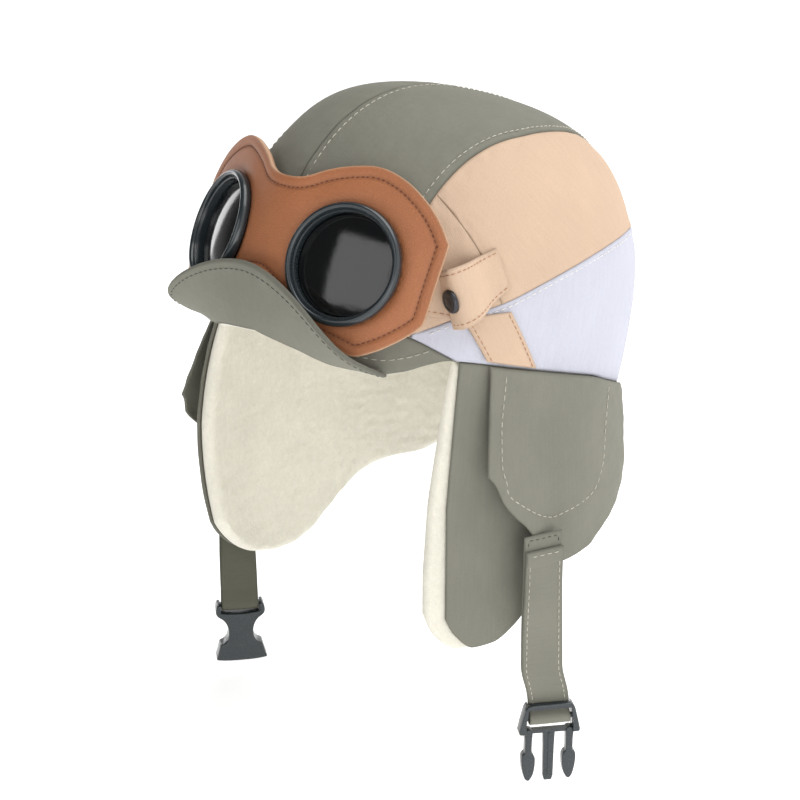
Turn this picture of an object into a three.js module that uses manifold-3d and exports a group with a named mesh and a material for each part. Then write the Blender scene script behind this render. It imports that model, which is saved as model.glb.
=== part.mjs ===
import * as THREE from "three";
import { mergeVertices } from "three/addons/utils/BufferGeometryUtils.js";
import Module from "manifold-3d";

// Aviator hat, in millimetres, +Z up. The hat faces -Y and the wearer's left is +X.
// The origin is the centre of the head opening, in the plane of the seam between crown and flaps.

const rad = THREE.MathUtils.degToRad;

// Crown: a rounded dome, tipped back by crownPitch, front up
const crownHalfWidth = 91;
const crownFrontReach = 110;
const crownRearReach = 107;
const crownHeight = 118;
const crownRoundness = 2.6;
const crownPitch = rad(17);
const frontDrop = 12.5;

// Cloth, fleece and leather walls
const clothWall = 1.6;
const crownPile = 5;
const flapPile = 8;
const leatherWall = 2.2;
const seamGap = 0.3;
const facetRoom = 0.5;

// Peak
const peakWall = 3;
const peakHalfWidth = 62.5;
const peakReach = 38.5;
const peakRise = 35;
const peakArch = 26;
const peakSquareness = 5;
const peakArchPower = 1.78;
const peakRoot = 0.77;
const peakBaseShare = 0.93;

// Flaps
const skirtFront = 57.4;
const skirtDrop = 130;
const outerFlapDrop = 87;
const outerFlapBulge = 7;
const outerFlapTwist = 6;
const backTuck = 4;
const flapSwell = 70;
const flapFlare = 19;
const flareDepth = 80;
const flapSag = 9;
const rollDepth = 105;

// Goggles: the leather mask is a sheet bent round the face, leaning back by maskLean
const maskStandOff = 3;
const maskCentreY = -(crownFrontReach + maskStandOff);
const maskCentreZ = 32;
const maskLean = rad(8.5);
const maskHalfWidth = 84;
const maskHeight = 46;
const ringRadius = 27;
const holeRadius = 25;
const ringWall = 4.2;
const ringStand = 6.5;
const ringSet = 42.5;
const ringLift = 1.5;
const ringYaw = rad(20);
const lensWall = 1.6;
const lensDome = 2.5;

// Goggle strap, keeper tab, snap and side band
const trimWall = 1.5;
const snapRadius = 6;
const snapWall = 2.4;
const strapHeight = 20;
const tabRise = 4.5;

// Chin straps and side-release buckle
const strapDrop = 180;
const webWidth = 20;
const webWall = 1.2;
const buckleWidth = 30;
const frameHeight = 16;
const frameDepth = 6.5;
const railWidth = 2.4;
const baseWall = 1.8;
const barWidth = 2.2;
const plugLength = 28;
const socketHeight = 34;
const socketDepth = 9;
const socketWall = 1.5;
const loopRadius = 2.3;
const layerGap = 0.2;
const strapStandOff = 1.5;
const strapStep = 7;

const wasm = await Module();
wasm.setup();

// Colour, roughness and metalness of each material
const finishes = {
  olive: [0x8b8a7e, 0.85, 0],
  beige: [0xe2c6ac, 0.85, 0],
  lavender: [0xd6d7e2, 0.85, 0],
  fleece: [0xd8d3c4, 1, 0],
  tan: [0xb8764e, 0.6, 0],
  black: [0x1c2226, 0.3, 0],
  lens: [0x0c0e10, 0.08, 0],
  gunmetal: [0x3a3a3c, 0.35, 1],
};

function mesh(name, geometry, finish) {
  const [color, roughness, metalness] = finishes[finish];
  const made = new THREE.Mesh(geometry, new THREE.MeshStandardMaterial({ color, roughness, metalness }));
  made.name = name;
  return made;
}

function smooth(t) {
  const c = Math.min(Math.max(t, 0), 1);
  return c * c * (3 - 2 * c);
}

// Value of a table's column at place x, its rows sorted by the key column
function lookUp(rows, key, column, x) {
  if (x <= rows[0][key]) return rows[0][column];
  for (let i = 1; i < rows.length; i += 1) {
    if (x <= rows[i][key]) {
      const t = (x - rows[i - 1][key]) / (rows[i][key] - rows[i - 1][key]);
      return rows[i - 1][column] + t * (rows[i][column] - rows[i - 1][column]);
    }
  }
  return rows[rows.length - 1][column];
}

function indexed(positions, triangles) {
  const geometry = new THREE.BufferGeometry();
  geometry.setAttribute("position", new THREE.Float32BufferAttribute(positions, 3));
  geometry.setIndex(triangles);
  return geometry;
}

function signedVolume(points, triangles) {
  let sum = 0;
  for (let i = 0; i < triangles.length; i += 3) {
    const [a, b, c] = [points[triangles[i]], points[triangles[i + 1]], points[triangles[i + 2]]];
    sum += a.clone().cross(b).dot(c);
  }
  return sum;
}

// Closed solid between two faces given by point functions of u and v, each from 0 to 1.
// A dome is closed round in u and capped at the top of each face by a fan.
function sheet(uSteps, vSteps, outer, inner, dome = false) {
  const columns = dome ? uSteps : uSteps + 1;
  const row = vSteps + 1;
  const points = [];
  for (const face of [outer, inner]) {
    for (let i = 0; i < columns; i += 1) {
      for (let j = 0; j < row; j += 1) points.push(face(i / uSteps, j / vSteps));
    }
  }
  const at = (k, i, j) => (k * columns + (i % columns)) * row + j;
  const triangles = [];
  const quad = (a, b, c, d) => triangles.push(a, b, c, a, c, d);
  for (let i = 0; i < uSteps; i += 1) {
    for (let j = 0; j < vSteps; j += 1) {
      quad(at(0, i, j), at(0, i + 1, j), at(0, i + 1, j + 1), at(0, i, j + 1));
      quad(at(1, i, j), at(1, i, j + 1), at(1, i + 1, j + 1), at(1, i + 1, j));
    }
    quad(at(0, i + 1, 0), at(0, i, 0), at(1, i, 0), at(1, i + 1, 0));
  }
  if (dome) {
    const poles = [points.length, points.length + 1];
    for (const face of [outer, inner]) points.push(new THREE.Vector3(0, 0, face(0, 1).z));
    for (let i = 0; i < uSteps; i += 1) {
      triangles.push(at(0, i, vSteps), at(0, i + 1, vSteps), poles[0]);
      triangles.push(at(1, i + 1, vSteps), at(1, i, vSteps), poles[1]);
    }
  } else {
    for (let i = 0; i < uSteps; i += 1) {
      quad(at(0, i, vSteps), at(0, i + 1, vSteps), at(1, i + 1, vSteps), at(1, i, vSteps));
    }
    for (let j = 0; j < vSteps; j += 1) {
      quad(at(0, 0, j), at(0, 0, j + 1), at(1, 0, j + 1), at(1, 0, j));
      quad(at(0, uSteps, j + 1), at(0, uSteps, j), at(1, uSteps, j), at(1, uSteps, j + 1));
    }
  }
  if (signedVolume(points, triangles) < 0) triangles.reverse();
  return indexed(points.flatMap((p) => [p.x, p.y, p.z]), triangles);
}

// Solids for cutting and joining
function toSolid(geometry) {
  const bare = geometry.clone();
  bare.deleteAttribute("normal");
  bare.deleteAttribute("uv");
  const merged = mergeVertices(bare, 1e-4);
  const vertProperties = new Float32Array(merged.attributes.position.array);
  const triVerts = new Uint32Array(merged.index.array);
  return new wasm.Manifold(new wasm.Mesh({ numProp: 3, vertProperties, triVerts }));
}

function toGeometry(solid) {
  const made = solid.getMesh();
  return indexed(Array.from(made.vertProperties), Array.from(made.triVerts));
}

function box(x0, x1, y0, y1, z0, z1) {
  const geometry = new THREE.BoxGeometry(x1 - x0, y1 - y0, z1 - z0);
  geometry.translate((x0 + x1) / 2, (y0 + y1) / 2, (z0 + z1) / 2);
  return toSolid(geometry);
}

// Polygon extruded along an axis, between two places on it
function prism(points, axis, from, to) {
  const shape = new THREE.Shape(points.map(([a, b]) => new THREE.Vector2(a, b)));
  const geometry = new THREE.ExtrudeGeometry(shape, { depth: to - from, bevelEnabled: false });
  geometry.translate(0, 0, from);
  const basis = new THREE.Matrix4();
  if (axis === "x") basis.set(0, 0, 1, 0, 1, 0, 0, 0, 0, 1, 0, 0, 0, 0, 0, 1);
  if (axis === "y") basis.set(1, 0, 0, 0, 0, 0, -1, 0, 0, 1, 0, 0, 0, 0, 0, 1);
  geometry.applyMatrix4(basis);
  return toSolid(geometry);
}

function mirrored(geometry) {
  const copy = geometry.clone();
  copy.scale(-1, 1, 1);
  const order = copy.index.array;
  for (let i = 0; i < order.length; i += 3) [order[i], order[i + 1]] = [order[i + 1], order[i]];
  return copy;
}

// Named pieces of the wearer's left, each with its mirror image for the right
function pairs(pieces) {
  return Object.entries(pieces).flatMap(([name, [shape, finish]]) => {
    const geometry = shape.isBufferGeometry ? shape : toGeometry(shape);
    return [mesh(`${name}_L`, geometry, finish), mesh(`${name}_R`, mirrored(geometry), finish)];
  });
}

// Dome surface in the crown's own frame: turn 0 is the front, 90 the wearer's left
const reachAt = (turn) => (Math.cos(turn) > 0 ? crownFrontReach : crownRearReach);

function domePoint(turn, climb, offset) {
  const ring = Math.cos(climb) ** (2 / crownRoundness);
  const lift = Math.sin(climb) ** (2 / crownRoundness);
  return new THREE.Vector3(
    (crownHalfWidth + offset) * ring * Math.sin(turn),
    -(reachAt(turn) + offset) * ring * Math.cos(turn),
    (crownHeight + offset) * lift,
  );
}

// Dome surface point at a place of the side view, on the wearer's left
function sidePoint(y, z, offset) {
  const lift = Math.max(z, 0) / (crownHeight + offset);
  const ring = (1 - lift ** crownRoundness) ** (1 / crownRoundness);
  const reach = (y < 0 ? crownFrontReach : crownRearReach) + offset;
  const x = (crownHalfWidth + offset) * Math.sqrt(Math.max(ring ** 2 - (y / reach) ** 2, 0));
  return new THREE.Vector3(x, y, z);
}

// Drop of the crown's lower edge below the seam plane, by turn in degrees, as a share of frontDrop
const rimDrop = [
  { turn: 0, drop: 0.56 },
  { turn: 15, drop: 0.76 },
  { turn: 28, drop: 1 },
  { turn: 38, drop: 0.96 },
  { turn: 45, drop: 0.68 },
  { turn: 51, drop: 0.26 },
  { turn: 56, drop: 0 },
  { turn: 66, drop: -0.1 },
  { turn: 85, drop: -0.14 },
  { turn: 100, drop: -0.1 },
  { turn: 112, drop: 0.1 },
  { turn: 125, drop: 0.3 },
  { turn: 140, drop: 0.4 },
];
const fromFront = (turn) => Math.abs(Math.atan2(Math.sin(turn), Math.cos(turn)));
const degreesFromFront = (turn) => THREE.MathUtils.radToDeg(fromFront(turn));
const rimLevel = (turn) => -frontDrop * lookUp(rimDrop, "turn", "drop", degreesFromFront(turn));

// Turns at which the dome has a column of faces, closer together along the front edge
const frontTurns = [0, 8, 16, 24, 31, 38, 45, 51, 56, 64, 73, 82, 91, 101, 112, 124, 136, 148, 159, 170];
const shellTurns = [...frontTurns, 180, ...frontTurns.slice(1).reverse().map((turn) => 360 - turn)];

// Closed dome shell with its lower edge at the rim, raised by lift
function domeShell(outerOffset, innerOffset, lift, climbs) {
  const turns = shellTurns.length;
  const face = (offset) => (u, v) => {
    const turn = rad(shellTurns[Math.round(u * turns) % turns]);
    const step = (v * (climbs + 1) - 1) / climbs;
    const point = domePoint(turn, v === 0 ? 0 : rad(2 + 84 * step), offset);
    if (v === 0) point.z = rimLevel(turn) + lift;
    return point;
  };
  return toSolid(sheet(turns, climbs + 1, face(outerOffset), face(innerOffset), true));
}

// Seams of the crown. Side view: y and z as shares of crownFrontReach and crownHeight.
const bandTop = [
  { y: -1.2, z: 0.1 },
  { y: -0.82, z: 0.08 },
  { y: -0.71, z: 0.06 },
  { y: -0.6, z: 0.025 },
  { y: -0.5, z: -0.01 },
];
const wedgeTop = [
  { y: -0.71, z: 0.07 },
  { y: -0.66, z: 0.1 },
  { y: -0.575, z: 0.155 },
  { y: -0.38, z: 0.25 },
  { y: -0.23, z: 0.335 },
  { y: -0.08, z: 0.41 },
  { y: 0.11, z: 0.49 },
  { y: 0.3, z: 0.55 },
  { y: 0.5, z: 0.59 },
  { y: 1.2, z: 0.62 },
];
const frontSeam = [
  { y: -0.66, z: 0.6 },
  { y: -0.51, z: 0.415 },
  { y: -0.4, z: 0.245 },
];
// Plan view: half-width of the top panels and place along the crown, as shares
const topPanel = [
  { y: -1.2, x: 0.6 },
  { y: -0.66, x: 0.615 },
  { y: -0.24, x: 0.61 },
  { y: -0.1, x: 0.59 },
  { y: 0.06, x: 0.55 },
  { y: 0.21, x: 0.49 },
  { y: 0.4, x: 0.415 },
  { y: 0.6, x: 0.35 },
  { y: 1.2, x: 0.28 },
];

const sideSeam = (rows, shift) => rows.map((row) => [row.y * crownFrontReach, row.z * crownHeight + shift]);
const planSeam = (shift) => topPanel.map((row) => [row.x * crownHalfWidth + shift, row.y * crownFrontReach]);
const far = 200;

function above(rows, shift) {
  const line = sideSeam(rows, shift);
  return [...line, [line[line.length - 1][0], far], [line[0][0], far]];
}

function below(rows, shift) {
  const line = sideSeam(rows, shift);
  return [[line[0][0], -far], [line[line.length - 1][0], -far], ...line.reverse()];
}

// Crown panels, cut out of one shell along the seams
function crownPanels() {
  const shell = domeShell(0, -clothWall, 0, 8);
  const half = shell.intersect(box(seamGap / 2, far, -far, far, -far, far));
  const slice = (polygon) => prism(polygon, "x", -far, far);
  const cutBack = seamGap * 0.7;
  const upperFloor = [...bandTop.slice(0, 2), ...wedgeTop];
  const wedgeFloor = [...bandTop.slice(2), { y: -0.499, z: -0.3 }, { y: 1.2, z: -0.3 }];
  const upper = half.intersect(slice(above(upperFloor, cutBack)));
  const inner = planSeam(-cutBack);
  const outer = planSeam(cutBack);
  const [frontEnd, rearEnd] = [inner[0][1], inner[inner.length - 1][1]];
  const inTop = prism([[-1, frontEnd], ...inner, [-1, rearEnd]], "z", -far, far);
  const outTop = prism([[far, rearEnd], ...outer.reverse(), [far, frontEnd]], "z", -far, far);
  const sideOfTop = upper.intersect(outTop);
  const seamLine = sideSeam(frontSeam, 0);
  const [seamTop, seamFoot] = [seamLine[0][0], seamLine[seamLine.length - 1][0]];
  const beyondSeam = (shift, end) => [
    [end, far],
    [seamTop + shift, far],
    ...seamLine.map(([y, z]) => [y + shift, z]),
    [seamFoot + shift, -far],
    [end, -far],
  ];
  const aft = beyondSeam(cutBack, far).reverse();
  const underWedgeTop = slice(below(wedgeTop, -cutBack));
  const wedge = half.intersect(slice(above(wedgeFloor, cutBack))).intersect(underWedgeTop);
  const panels = {
    crown_top_panel: [upper.intersect(inTop), "olive"],
    crown_front_panel: [sideOfTop.intersect(slice(beyondSeam(-cutBack, -far))), "beige"],
    crown_side_panel: [sideOfTop.intersect(slice(aft)), "beige"],
    crown_wedge_panel: [wedge, "lavender"],
  };
  const band = shell.intersect(slice(below(bandTop, -cutBack)));
  return [mesh("front_band", toGeometry(band), "olive"), ...pairs(panels)];
}

function crownLining() {
  const outer = -clothWall - seamGap - facetRoom;
  return mesh("crown_lining", toGeometry(domeShell(outer, outer - crownPile, 1, 6)), "fleece");
}

// Peak: ruled from the front edge of the crown to a free edge that is arched and turned up
function peak() {
  const rootY = -peakRoot * crownFrontReach;
  const outerFace = (lift) => (u, v) => {
    const angle = (u - 0.5) * Math.PI * 0.97;
    const [sine, cosine] = [Math.sin(angle), Math.cos(angle)];
    const radius = (Math.abs(sine) ** peakSquareness + cosine ** peakSquareness) ** (-1 / peakSquareness);
    const s = radius * sine;
    const f = radius * cosine;
    const edge = new THREE.Vector3(
      peakHalfWidth * s,
      rootY - peakReach * f,
      -frontDrop + (peakRise - peakArch * Math.abs(s) ** peakArchPower) * f,
    );
    const turn = Math.asin((peakBaseShare * peakHalfWidth * s) / crownHalfWidth);
    const base = domePoint(turn, 0, seamGap);
    base.z = rimLevel(turn) + lift;
    base.y -= 0.3 * lift;
    const edgeOut = edge.clone().add(new THREE.Vector3(0, 0.75 * lift, 0.5 * lift));
    const point = base.clone().lerp(edgeOut, v);
    point.z -= Math.sin(Math.PI * v) * 0.06 * base.distanceTo(edge);
    return point;
  };
  return mesh("peak", sheet(26, 4, outerFace(peakWall), outerFace(0)), "olive");
}

// The flaps hang unlike each other: flare and drop are shares of flapFlare and flapSag, the rest degrees
const sides = [
  { name: "L", sign: 1, flare: 0, lean: 3, lobeShift: 0, drop: 0, roll: 5.2 },
  { name: "R", sign: -1, flare: 1, lean: 5, lobeShift: -3, drop: 1, roll: 0 },
];
// Skirt below the rim: lower edge by turn, as a share of skirtDrop, for each side of the hat
const skirtEdge = {
  L: [
    { turn: 56, drop: 0.69 },
    { turn: 57.5, drop: 0.8 },
    { turn: 61, drop: 0.905 },
    { turn: 66, drop: 0.965 },
    { turn: 71, drop: 0.96 },
    { turn: 77, drop: 0.91 },
    { turn: 84, drop: 0.81 },
    { turn: 91, drop: 0.73 },
    { turn: 100, drop: 0.7 },
    { turn: 130, drop: 0.69 },
    { turn: 180, drop: 0.68 },
  ],
  R: [
    { turn: 57, drop: 0.77 },
    { turn: 58.5, drop: 0.83 },
    { turn: 60.5, drop: 0.885 },
    { turn: 63, drop: 0.935 },
    { turn: 66, drop: 0.98 },
    { turn: 70, drop: 1.02 },
    { turn: 75, drop: 1.05 },
    { turn: 80, drop: 1.075 },
    { turn: 86, drop: 1.085 },
    { turn: 92, drop: 1.07 },
    { turn: 98, drop: 1.02 },
    { turn: 105, drop: 0.935 },
    { turn: 112, drop: 0.85 },
    { turn: 120, drop: 0.8 },
    { turn: 130, drop: 0.765 },
    { turn: 140, drop: 0.7 },
    { turn: 150, drop: 0.685 },
  ],
};
const outerFlapEdge = [
  { turn: 66, drop: 0.4 },
  { turn: 68, drop: 0.456 },
  { turn: 70, drop: 0.558 },
  { turn: 73, drop: 0.65 },
  { turn: 76, drop: 0.725 },
  { turn: 80, drop: 0.869 },
  { turn: 84, drop: 0.984 },
  { turn: 88, drop: 1.011 },
  { turn: 96, drop: 0.999 },
  { turn: 100, drop: 0.969 },
  { turn: 104, drop: 0.936 },
  { turn: 112, drop: 0.878 },
  { turn: 120, drop: 0.792 },
  { turn: 124, drop: 0.738 },
];

// Level of the seam between crown and flaps at a turn in degrees, for a face at an offset
function seamLevel(turn, offset = 0) {
  const reach = reachAt(rad(turn)) * Math.cos(crownPitch) + offset;
  return Math.tan(crownPitch) * reach * Math.cos(rad(turn)) + Math.cos(crownPitch) * rimLevel(rad(turn));
}
const depthBelow = (turn, level) => Math.max(seamLevel(turn) - level, 0);
const depthShare = (turn, level) => Math.min(depthBelow(turn, level) / flapSwell, 1);

// Place on the hanging skirt: turn in degrees, level in the hat's upright frame
function skirtPoint(turn, level, offset) {
  const side = turn >= 0 ? sides[0] : sides[1];
  const bend = depthShare(turn, level);
  const angle = rad(turn - side.sign * side.lean * bend * smooth((100 - Math.abs(turn)) / 45));
  const window = smooth((150 - Math.abs(turn)) / 60);
  const tuck = backTuck * bend * smooth((Math.abs(turn) - 70) / 80);
  const belly = Math.sin((Math.PI / 2) * Math.min(depthBelow(turn, level) / flareDepth, 2));
  const out = offset + side.flare * flapFlare * Math.max(belly, 0) ** 0.6 * window - tuck;
  return new THREE.Vector3(
    (crownHalfWidth + out) * Math.sin(angle),
    -(reachAt(angle) * Math.cos(crownPitch) + out) * Math.cos(angle)
      + Math.sin(crownPitch) * rimLevel(rad(turn)) * (1 - bend),
    level,
  );
}

const wrap = (turn) => (turn > 180 ? turn - 360 : turn);

// Turn of the skirt's front edge where the fleece rolls forward of the cloth, most near its foot
function rolledTurn(turn, level, roll) {
  const depth = Math.min(depthBelow(turn, level) / rollDepth, 1);
  return turn - roll * depth ** 0.7 * smooth((75 - turn) / 15);
}

function skirt(name, finish, outerOffset, innerOffset, front, extra, rolls) {
  const face = (offset) => (u, v) => {
    const turn = wrap(front + u * (360 - 2 * front));
    const side = turn >= 0 ? sides[0] : sides[1];
    const bottom = -skirtDrop * lookUp(skirtEdge[side.name], "turn", "drop", Math.abs(turn)) - extra;
    const top = seamLevel(turn, offset) - seamGap;
    const level = top + (bottom - top) * v;
    const rolled = side.sign * rolledTurn(Math.abs(turn), level, rolls ? side.roll : 0);
    return skirtPoint(rolled, level, offset);
  };
  return mesh(name, sheet(46, 4, face(outerOffset), face(innerOffset)), finish);
}

// Outer flaps: one layer of cloth over the skirt on each side, with the chin straps sewn to them
function flapInner(turn, level) {
  const share = depthShare(turn, level);
  const ahead = Math.max((85 - Math.abs(turn)) / 19, 0);
  return seamGap + 0.2 + outerFlapBulge * share ** 0.6 + outerFlapTwist * share ** 2 * ahead;
}
const flapOuter = (turn, level) => flapInner(turn, level) + clothWall;

function outerFlap(side) {
  const first = outerFlapEdge[0].turn;
  const last = outerFlapEdge[outerFlapEdge.length - 1].turn;
  const face = (offset) => (u, v) => {
    const place = first + (last - first) * u;
    const turn = side.sign * (place + side.lobeShift);
    const bottom = -outerFlapDrop * lookUp(outerFlapEdge, "turn", "drop", place) - side.drop * flapSag;
    const top = seamLevel(turn) - seamGap;
    const level = top + (bottom - top) * v;
    return skirtPoint(turn, level, offset(turn, level));
  };
  return mesh(`outer_flap_${side.name}`, sheet(16, 5, face(flapOuter), face(flapInner)), "olive");
}

// Chin straps: webbing sewn to the outer flap, led round the buckle's bar and back up.
// Levels are shares of strapDrop, places of the bar shares of crownHalfWidth, sways of webWidth,
// lifts off the flap of strapStandOff, turns in degrees.
const straps = [
  { name: "L", turn: 81.5, root: 0.375, leave: 0.464, bar: 0.942, x: 1.075, y: -0.122, sway: -0.2, lift: 1 },
  { name: "R", turn: -81, root: 0.383, leave: 0.467, bar: 0.966, x: -1.141, y: -0.415, sway: 0, lift: 0 },
];
const behindRail = (strap) => strap.name === "L";
// The way that a strap faces, by its share of the way from the flap to the bar
const strapFacing = {
  L: [
    { share: 0, facing: 73 },
    { share: 0.35, facing: 64 },
    { share: 1, facing: 55 },
  ],
  R: [
    { share: 0, facing: -86 },
    { share: 0.6, facing: -104 },
    { share: 1, facing: -124 },
  ],
};
const levelOf = (share) => -share * strapDrop;

// Middle line of a strap at a level: its place and the way that its face looks
function strapFrame(strap, level) {
  const [leave, bar] = [levelOf(strap.leave), levelOf(strap.bar)];
  const standOff = seamGap + strap.lift * strapStandOff;
  const lift = flapOuter(strap.turn, level) + standOff + 1.5 * webWall + layerGap;
  const onFlap = skirtPoint(strap.turn, Math.max(level, leave), lift);
  const share = smooth((leave - level) / (leave - bar));
  const hang = new THREE.Vector3(strap.x * crownHalfWidth, strap.y * crownHalfWidth, level);
  const place = onFlap.lerp(hang, share);
  place.z = level;
  const facing = rad(lookUp(strapFacing[strap.name], "share", "facing", share));
  const normal = new THREE.Vector3(Math.sin(facing), -Math.cos(facing), 0);
  const across = new THREE.Vector3(Math.cos(facing), Math.sin(facing), 0);
  const aboveFrame = (level - bar - 0.4 * frameHeight) / (1.5 * frameHeight);
  place.addScaledVector(across, strap.sway * webWidth * smooth(aboveFrame));
  return { place, normal, across, facing };
}

// Side view of the strap: level and distance before the middle line, down one layer and up the other.
// The plug's bar has a rail above it, which the front layer passes behind.
function strapPath(strap) {
  const bar = levelOf(strap.bar);
  const half = loopRadius + webWall / 2;
  const apart = webWall / 2 + layerGap;
  const railed = behindRail(strap);
  const bends = railed ? [1.2, 0.9, 0.6, 0.453, 0.307, 0.2, 0.1, 0] : [0.933, 0.733, 0.5, 0.3, 0.133, 0];
  const rises = bends.map((share) => share * frameHeight);
  const closing = railed ? 0.6 * frameHeight : 0;
  const railFoot = 0.307 * frameHeight;
  const backOut = (rise) => -half + (half - apart) * smooth((rise - closing) / (0.6 * frameHeight));
  const frontOut = (rise) => {
    if (!railed) return -backOut(rise);
    const tucked = backOut(rise) + webWall + seamGap + layerGap;
    return rise < railFoot ? half + (tucked - half) * smooth(rise / railFoot) : tucked;
  };
  const layerSteps = 9;
  const risesFrom = (level) => {
    const stretch = level - bar - rises[0];
    const list = [];
    for (let i = layerSteps; i > 0; i -= 1) list.push(rises[0] + (stretch * i) / layerSteps);
    return list.concat(rises);
  };
  const path = [];
  for (const rise of risesFrom(levelOf(strap.root))) path.push({ level: bar + rise, out: backOut(rise) });
  const turnSteps = 6;
  for (let i = 1; i < turnSteps; i += 1) {
    const angle = (Math.PI * i) / turnSteps;
    path.push({ level: bar - half * Math.sin(angle), out: -half * Math.cos(angle) });
  }
  const foldedEnd = levelOf(strap.root) - strapStep;
  for (const rise of risesFrom(foldedEnd).reverse()) path.push({ level: bar + rise, out: frontOut(rise) });
  return path;
}

function chinStrap(strap) {
  const path = strapPath(strap);
  const last = path.length - 1;
  const face = (shift) => (u, v) => {
    const i = Math.round(u * last);
    const [before, here, after] = [path[Math.max(i - 1, 0)], path[i], path[Math.min(i + 1, last)]];
    const run = Math.hypot(after.level - before.level, after.out - before.out);
    const levelOut = here.level + (shift * (after.out - before.out)) / run;
    const out = here.out - (shift * (after.level - before.level)) / run;
    const { place, normal, across } = strapFrame(strap, Math.max(here.level, levelOf(strap.bar)));
    place.z = levelOut;
    return place.addScaledVector(normal, out).addScaledVector(across, (v - 0.5) * webWidth);
  };
  const name = `chin_strap_${strap.name}`;
  return mesh(name, sheet(last, 1, face(webWall / 2), face(-webWall / 2)), "olive");
}

// Buckle halves in their own frame: the bar is at the origin and the face looks along -Y
function placedAtBar(name, solid, strap) {
  const made = mesh(name, toGeometry(solid), "black");
  const { place, facing } = strapFrame(strap, levelOf(strap.bar));
  made.position.copy(place);
  made.rotation.z = facing;
  return made;
}

function bothWays(points) {
  return [...points, ...[...points].reverse().map(([x, z]) => [-x, z])];
}

// Outlines of the buckle: x as shares of half its width, z as shares of its length, from the top down
const frameOutline = [
  { x: 0.6, z: 0.01 },
  { x: 0.75, z: 0.06 },
  { x: 0.83, z: 0.2 },
  { x: 0.93, z: 0.6 },
  { x: 1, z: 0.93 },
  { x: 1, z: 1 },
];
const armOutline = [
  { x: 0.56, z: -0.036 },
  { x: 0.787, z: -0.036 },
  { x: 0.787, z: 0.39 },
  { x: 0.893, z: 0.46 },
  { x: 0.893, z: 0.6 },
  { x: 0.8, z: 0.85 },
  { x: 0.69, z: 0.93 },
  { x: 0.59, z: 0.9 },
  { x: 0.47, z: 0.75 },
  { x: 0.447, z: 0.5 },
  { x: 0.56, z: 0.39 },
];
const prongOutline = [
  { x: 0.19, z: -0.036 },
  { x: 0.167, z: 0.893 },
  { x: 0.08, z: 0.964 },
];
const socketOutline = [
  { x: 0.74, z: 0 },
  { x: 0.83, z: 0.025 },
  { x: 0.895, z: 0.1 },
  { x: 0.895, z: 0.15 },
  { x: 0.82, z: 0.2 },
  { x: 0.64, z: 0.265 },
  { x: 0.5, z: 0.37 },
  { x: 0.45, z: 0.48 },
  { x: 0.47, z: 0.58 },
  { x: 0.56, z: 0.665 },
  { x: 0.76, z: 0.72 },
  { x: 0.93, z: 0.97 },
  { x: 0.5, z: 1 },
];
// Lower edge of the gap under the socket's bar
const slotFloor = [
  { x: 0.72, z: 0.14 },
  { x: 0.36, z: 0.163 },
  { x: 0, z: 0.17 },
];
const scaled = (rows, x, top, length) => rows.map((row) => [row.x * x, top - row.z * length]);

function bucklePlug(strap) {
  const [w, h, d] = [buckleWidth / 2, frameHeight / 2, frameDepth / 2];
  const arm = scaled(armOutline, w, -h, plugLength);
  const armDepth = 0.74 * d;
  const prong = bothWays(scaled(prongOutline, w, -h, plugLength));
  const prongDepth = 0.5 * d;
  const baseDepth = 0.46 * d;
  const [room, baseRoom] = [0.707 * w, 0.767 * w];
  const [baseTop, railFoot] = [baseWall - h, h - railWidth];
  const opening = [[-baseRoom, baseTop], [baseRoom, baseTop], [room, railFoot], [-room, railFoot]];
  const cuts = [
    prism(opening, "y", -far, far),
    box(-room, room, -seamGap, far, railFoot - 1, far),
    box(-baseRoom, baseRoom, baseDepth, far, -far, 0),
    box(-baseRoom, baseRoom, -far, -baseDepth, -far, 0),
  ];
  const frame = prism(bothWays(scaled(frameOutline, w, h, frameHeight)), "y", -d, d);
  const parts = [
    box(-0.83 * w, 0.83 * w, -barWidth / 2, barWidth / 2, -barWidth / 2, barWidth / 2),
    prism(arm, "y", -armDepth, armDepth),
    prism(arm.map(([x, z]) => [-x, z]).reverse(), "y", -armDepth, armDepth),
    prism(prong, "y", -prongDepth, prongDepth),
  ];
  const open = cuts.reduce((rest, part) => rest.subtract(part), frame);
  return placedAtBar("buckle_plug", parts.reduce((all, part) => all.add(part), open), strap);
}

function buckleSocket(strap) {
  const [w, d] = [buckleWidth / 2, socketDepth / 2];
  const top = barWidth / 2;
  const at = (share) => top - share * socketHeight;
  const room = d - socketWall;
  const cavity = (halfWidth, from, to) => box(-halfWidth, halfWidth, -room, room, at(from), at(to));
  const slot = webWidth / 2 + 0.8;
  const floor = bothWays(scaled(slotFloor.slice(0, -1), w, top, socketHeight));
  const lowest = scaled(slotFloor.slice(-1), w, top, socketHeight);
  const gap = [[slot, -top], ...floor.slice(0, 2), ...lowest, ...floor.slice(2), [-slot, -top]];
  const cuts = [
    prism(gap, "y", -far, far),
    box(-slot, slot, -far, -top, -barWidth, far),
    box(-slot, slot, top, far, -barWidth, far),
    cavity(0.74 * w, 1.1, 0.76),
    cavity(w / 3, 0.8, 0.359),
  ];
  const body = prism(bothWays(scaled(socketOutline, w, top, socketHeight)), "y", -d, d);
  return placedAtBar("buckle_socket", cuts.reduce((rest, part) => rest.subtract(part), body), strap);
}

// Goggles, in the crown's frame: u runs round the face and v up it, both from the nose bridge
const maskBend = [
  { u: 0, yaw: 0 },
  { u: 0.17, yaw: 18 },
  { u: 0.5, yaw: 20 },
  { u: 0.77, yaw: 24 },
  { u: 1.07, yaw: 34 },
];

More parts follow.
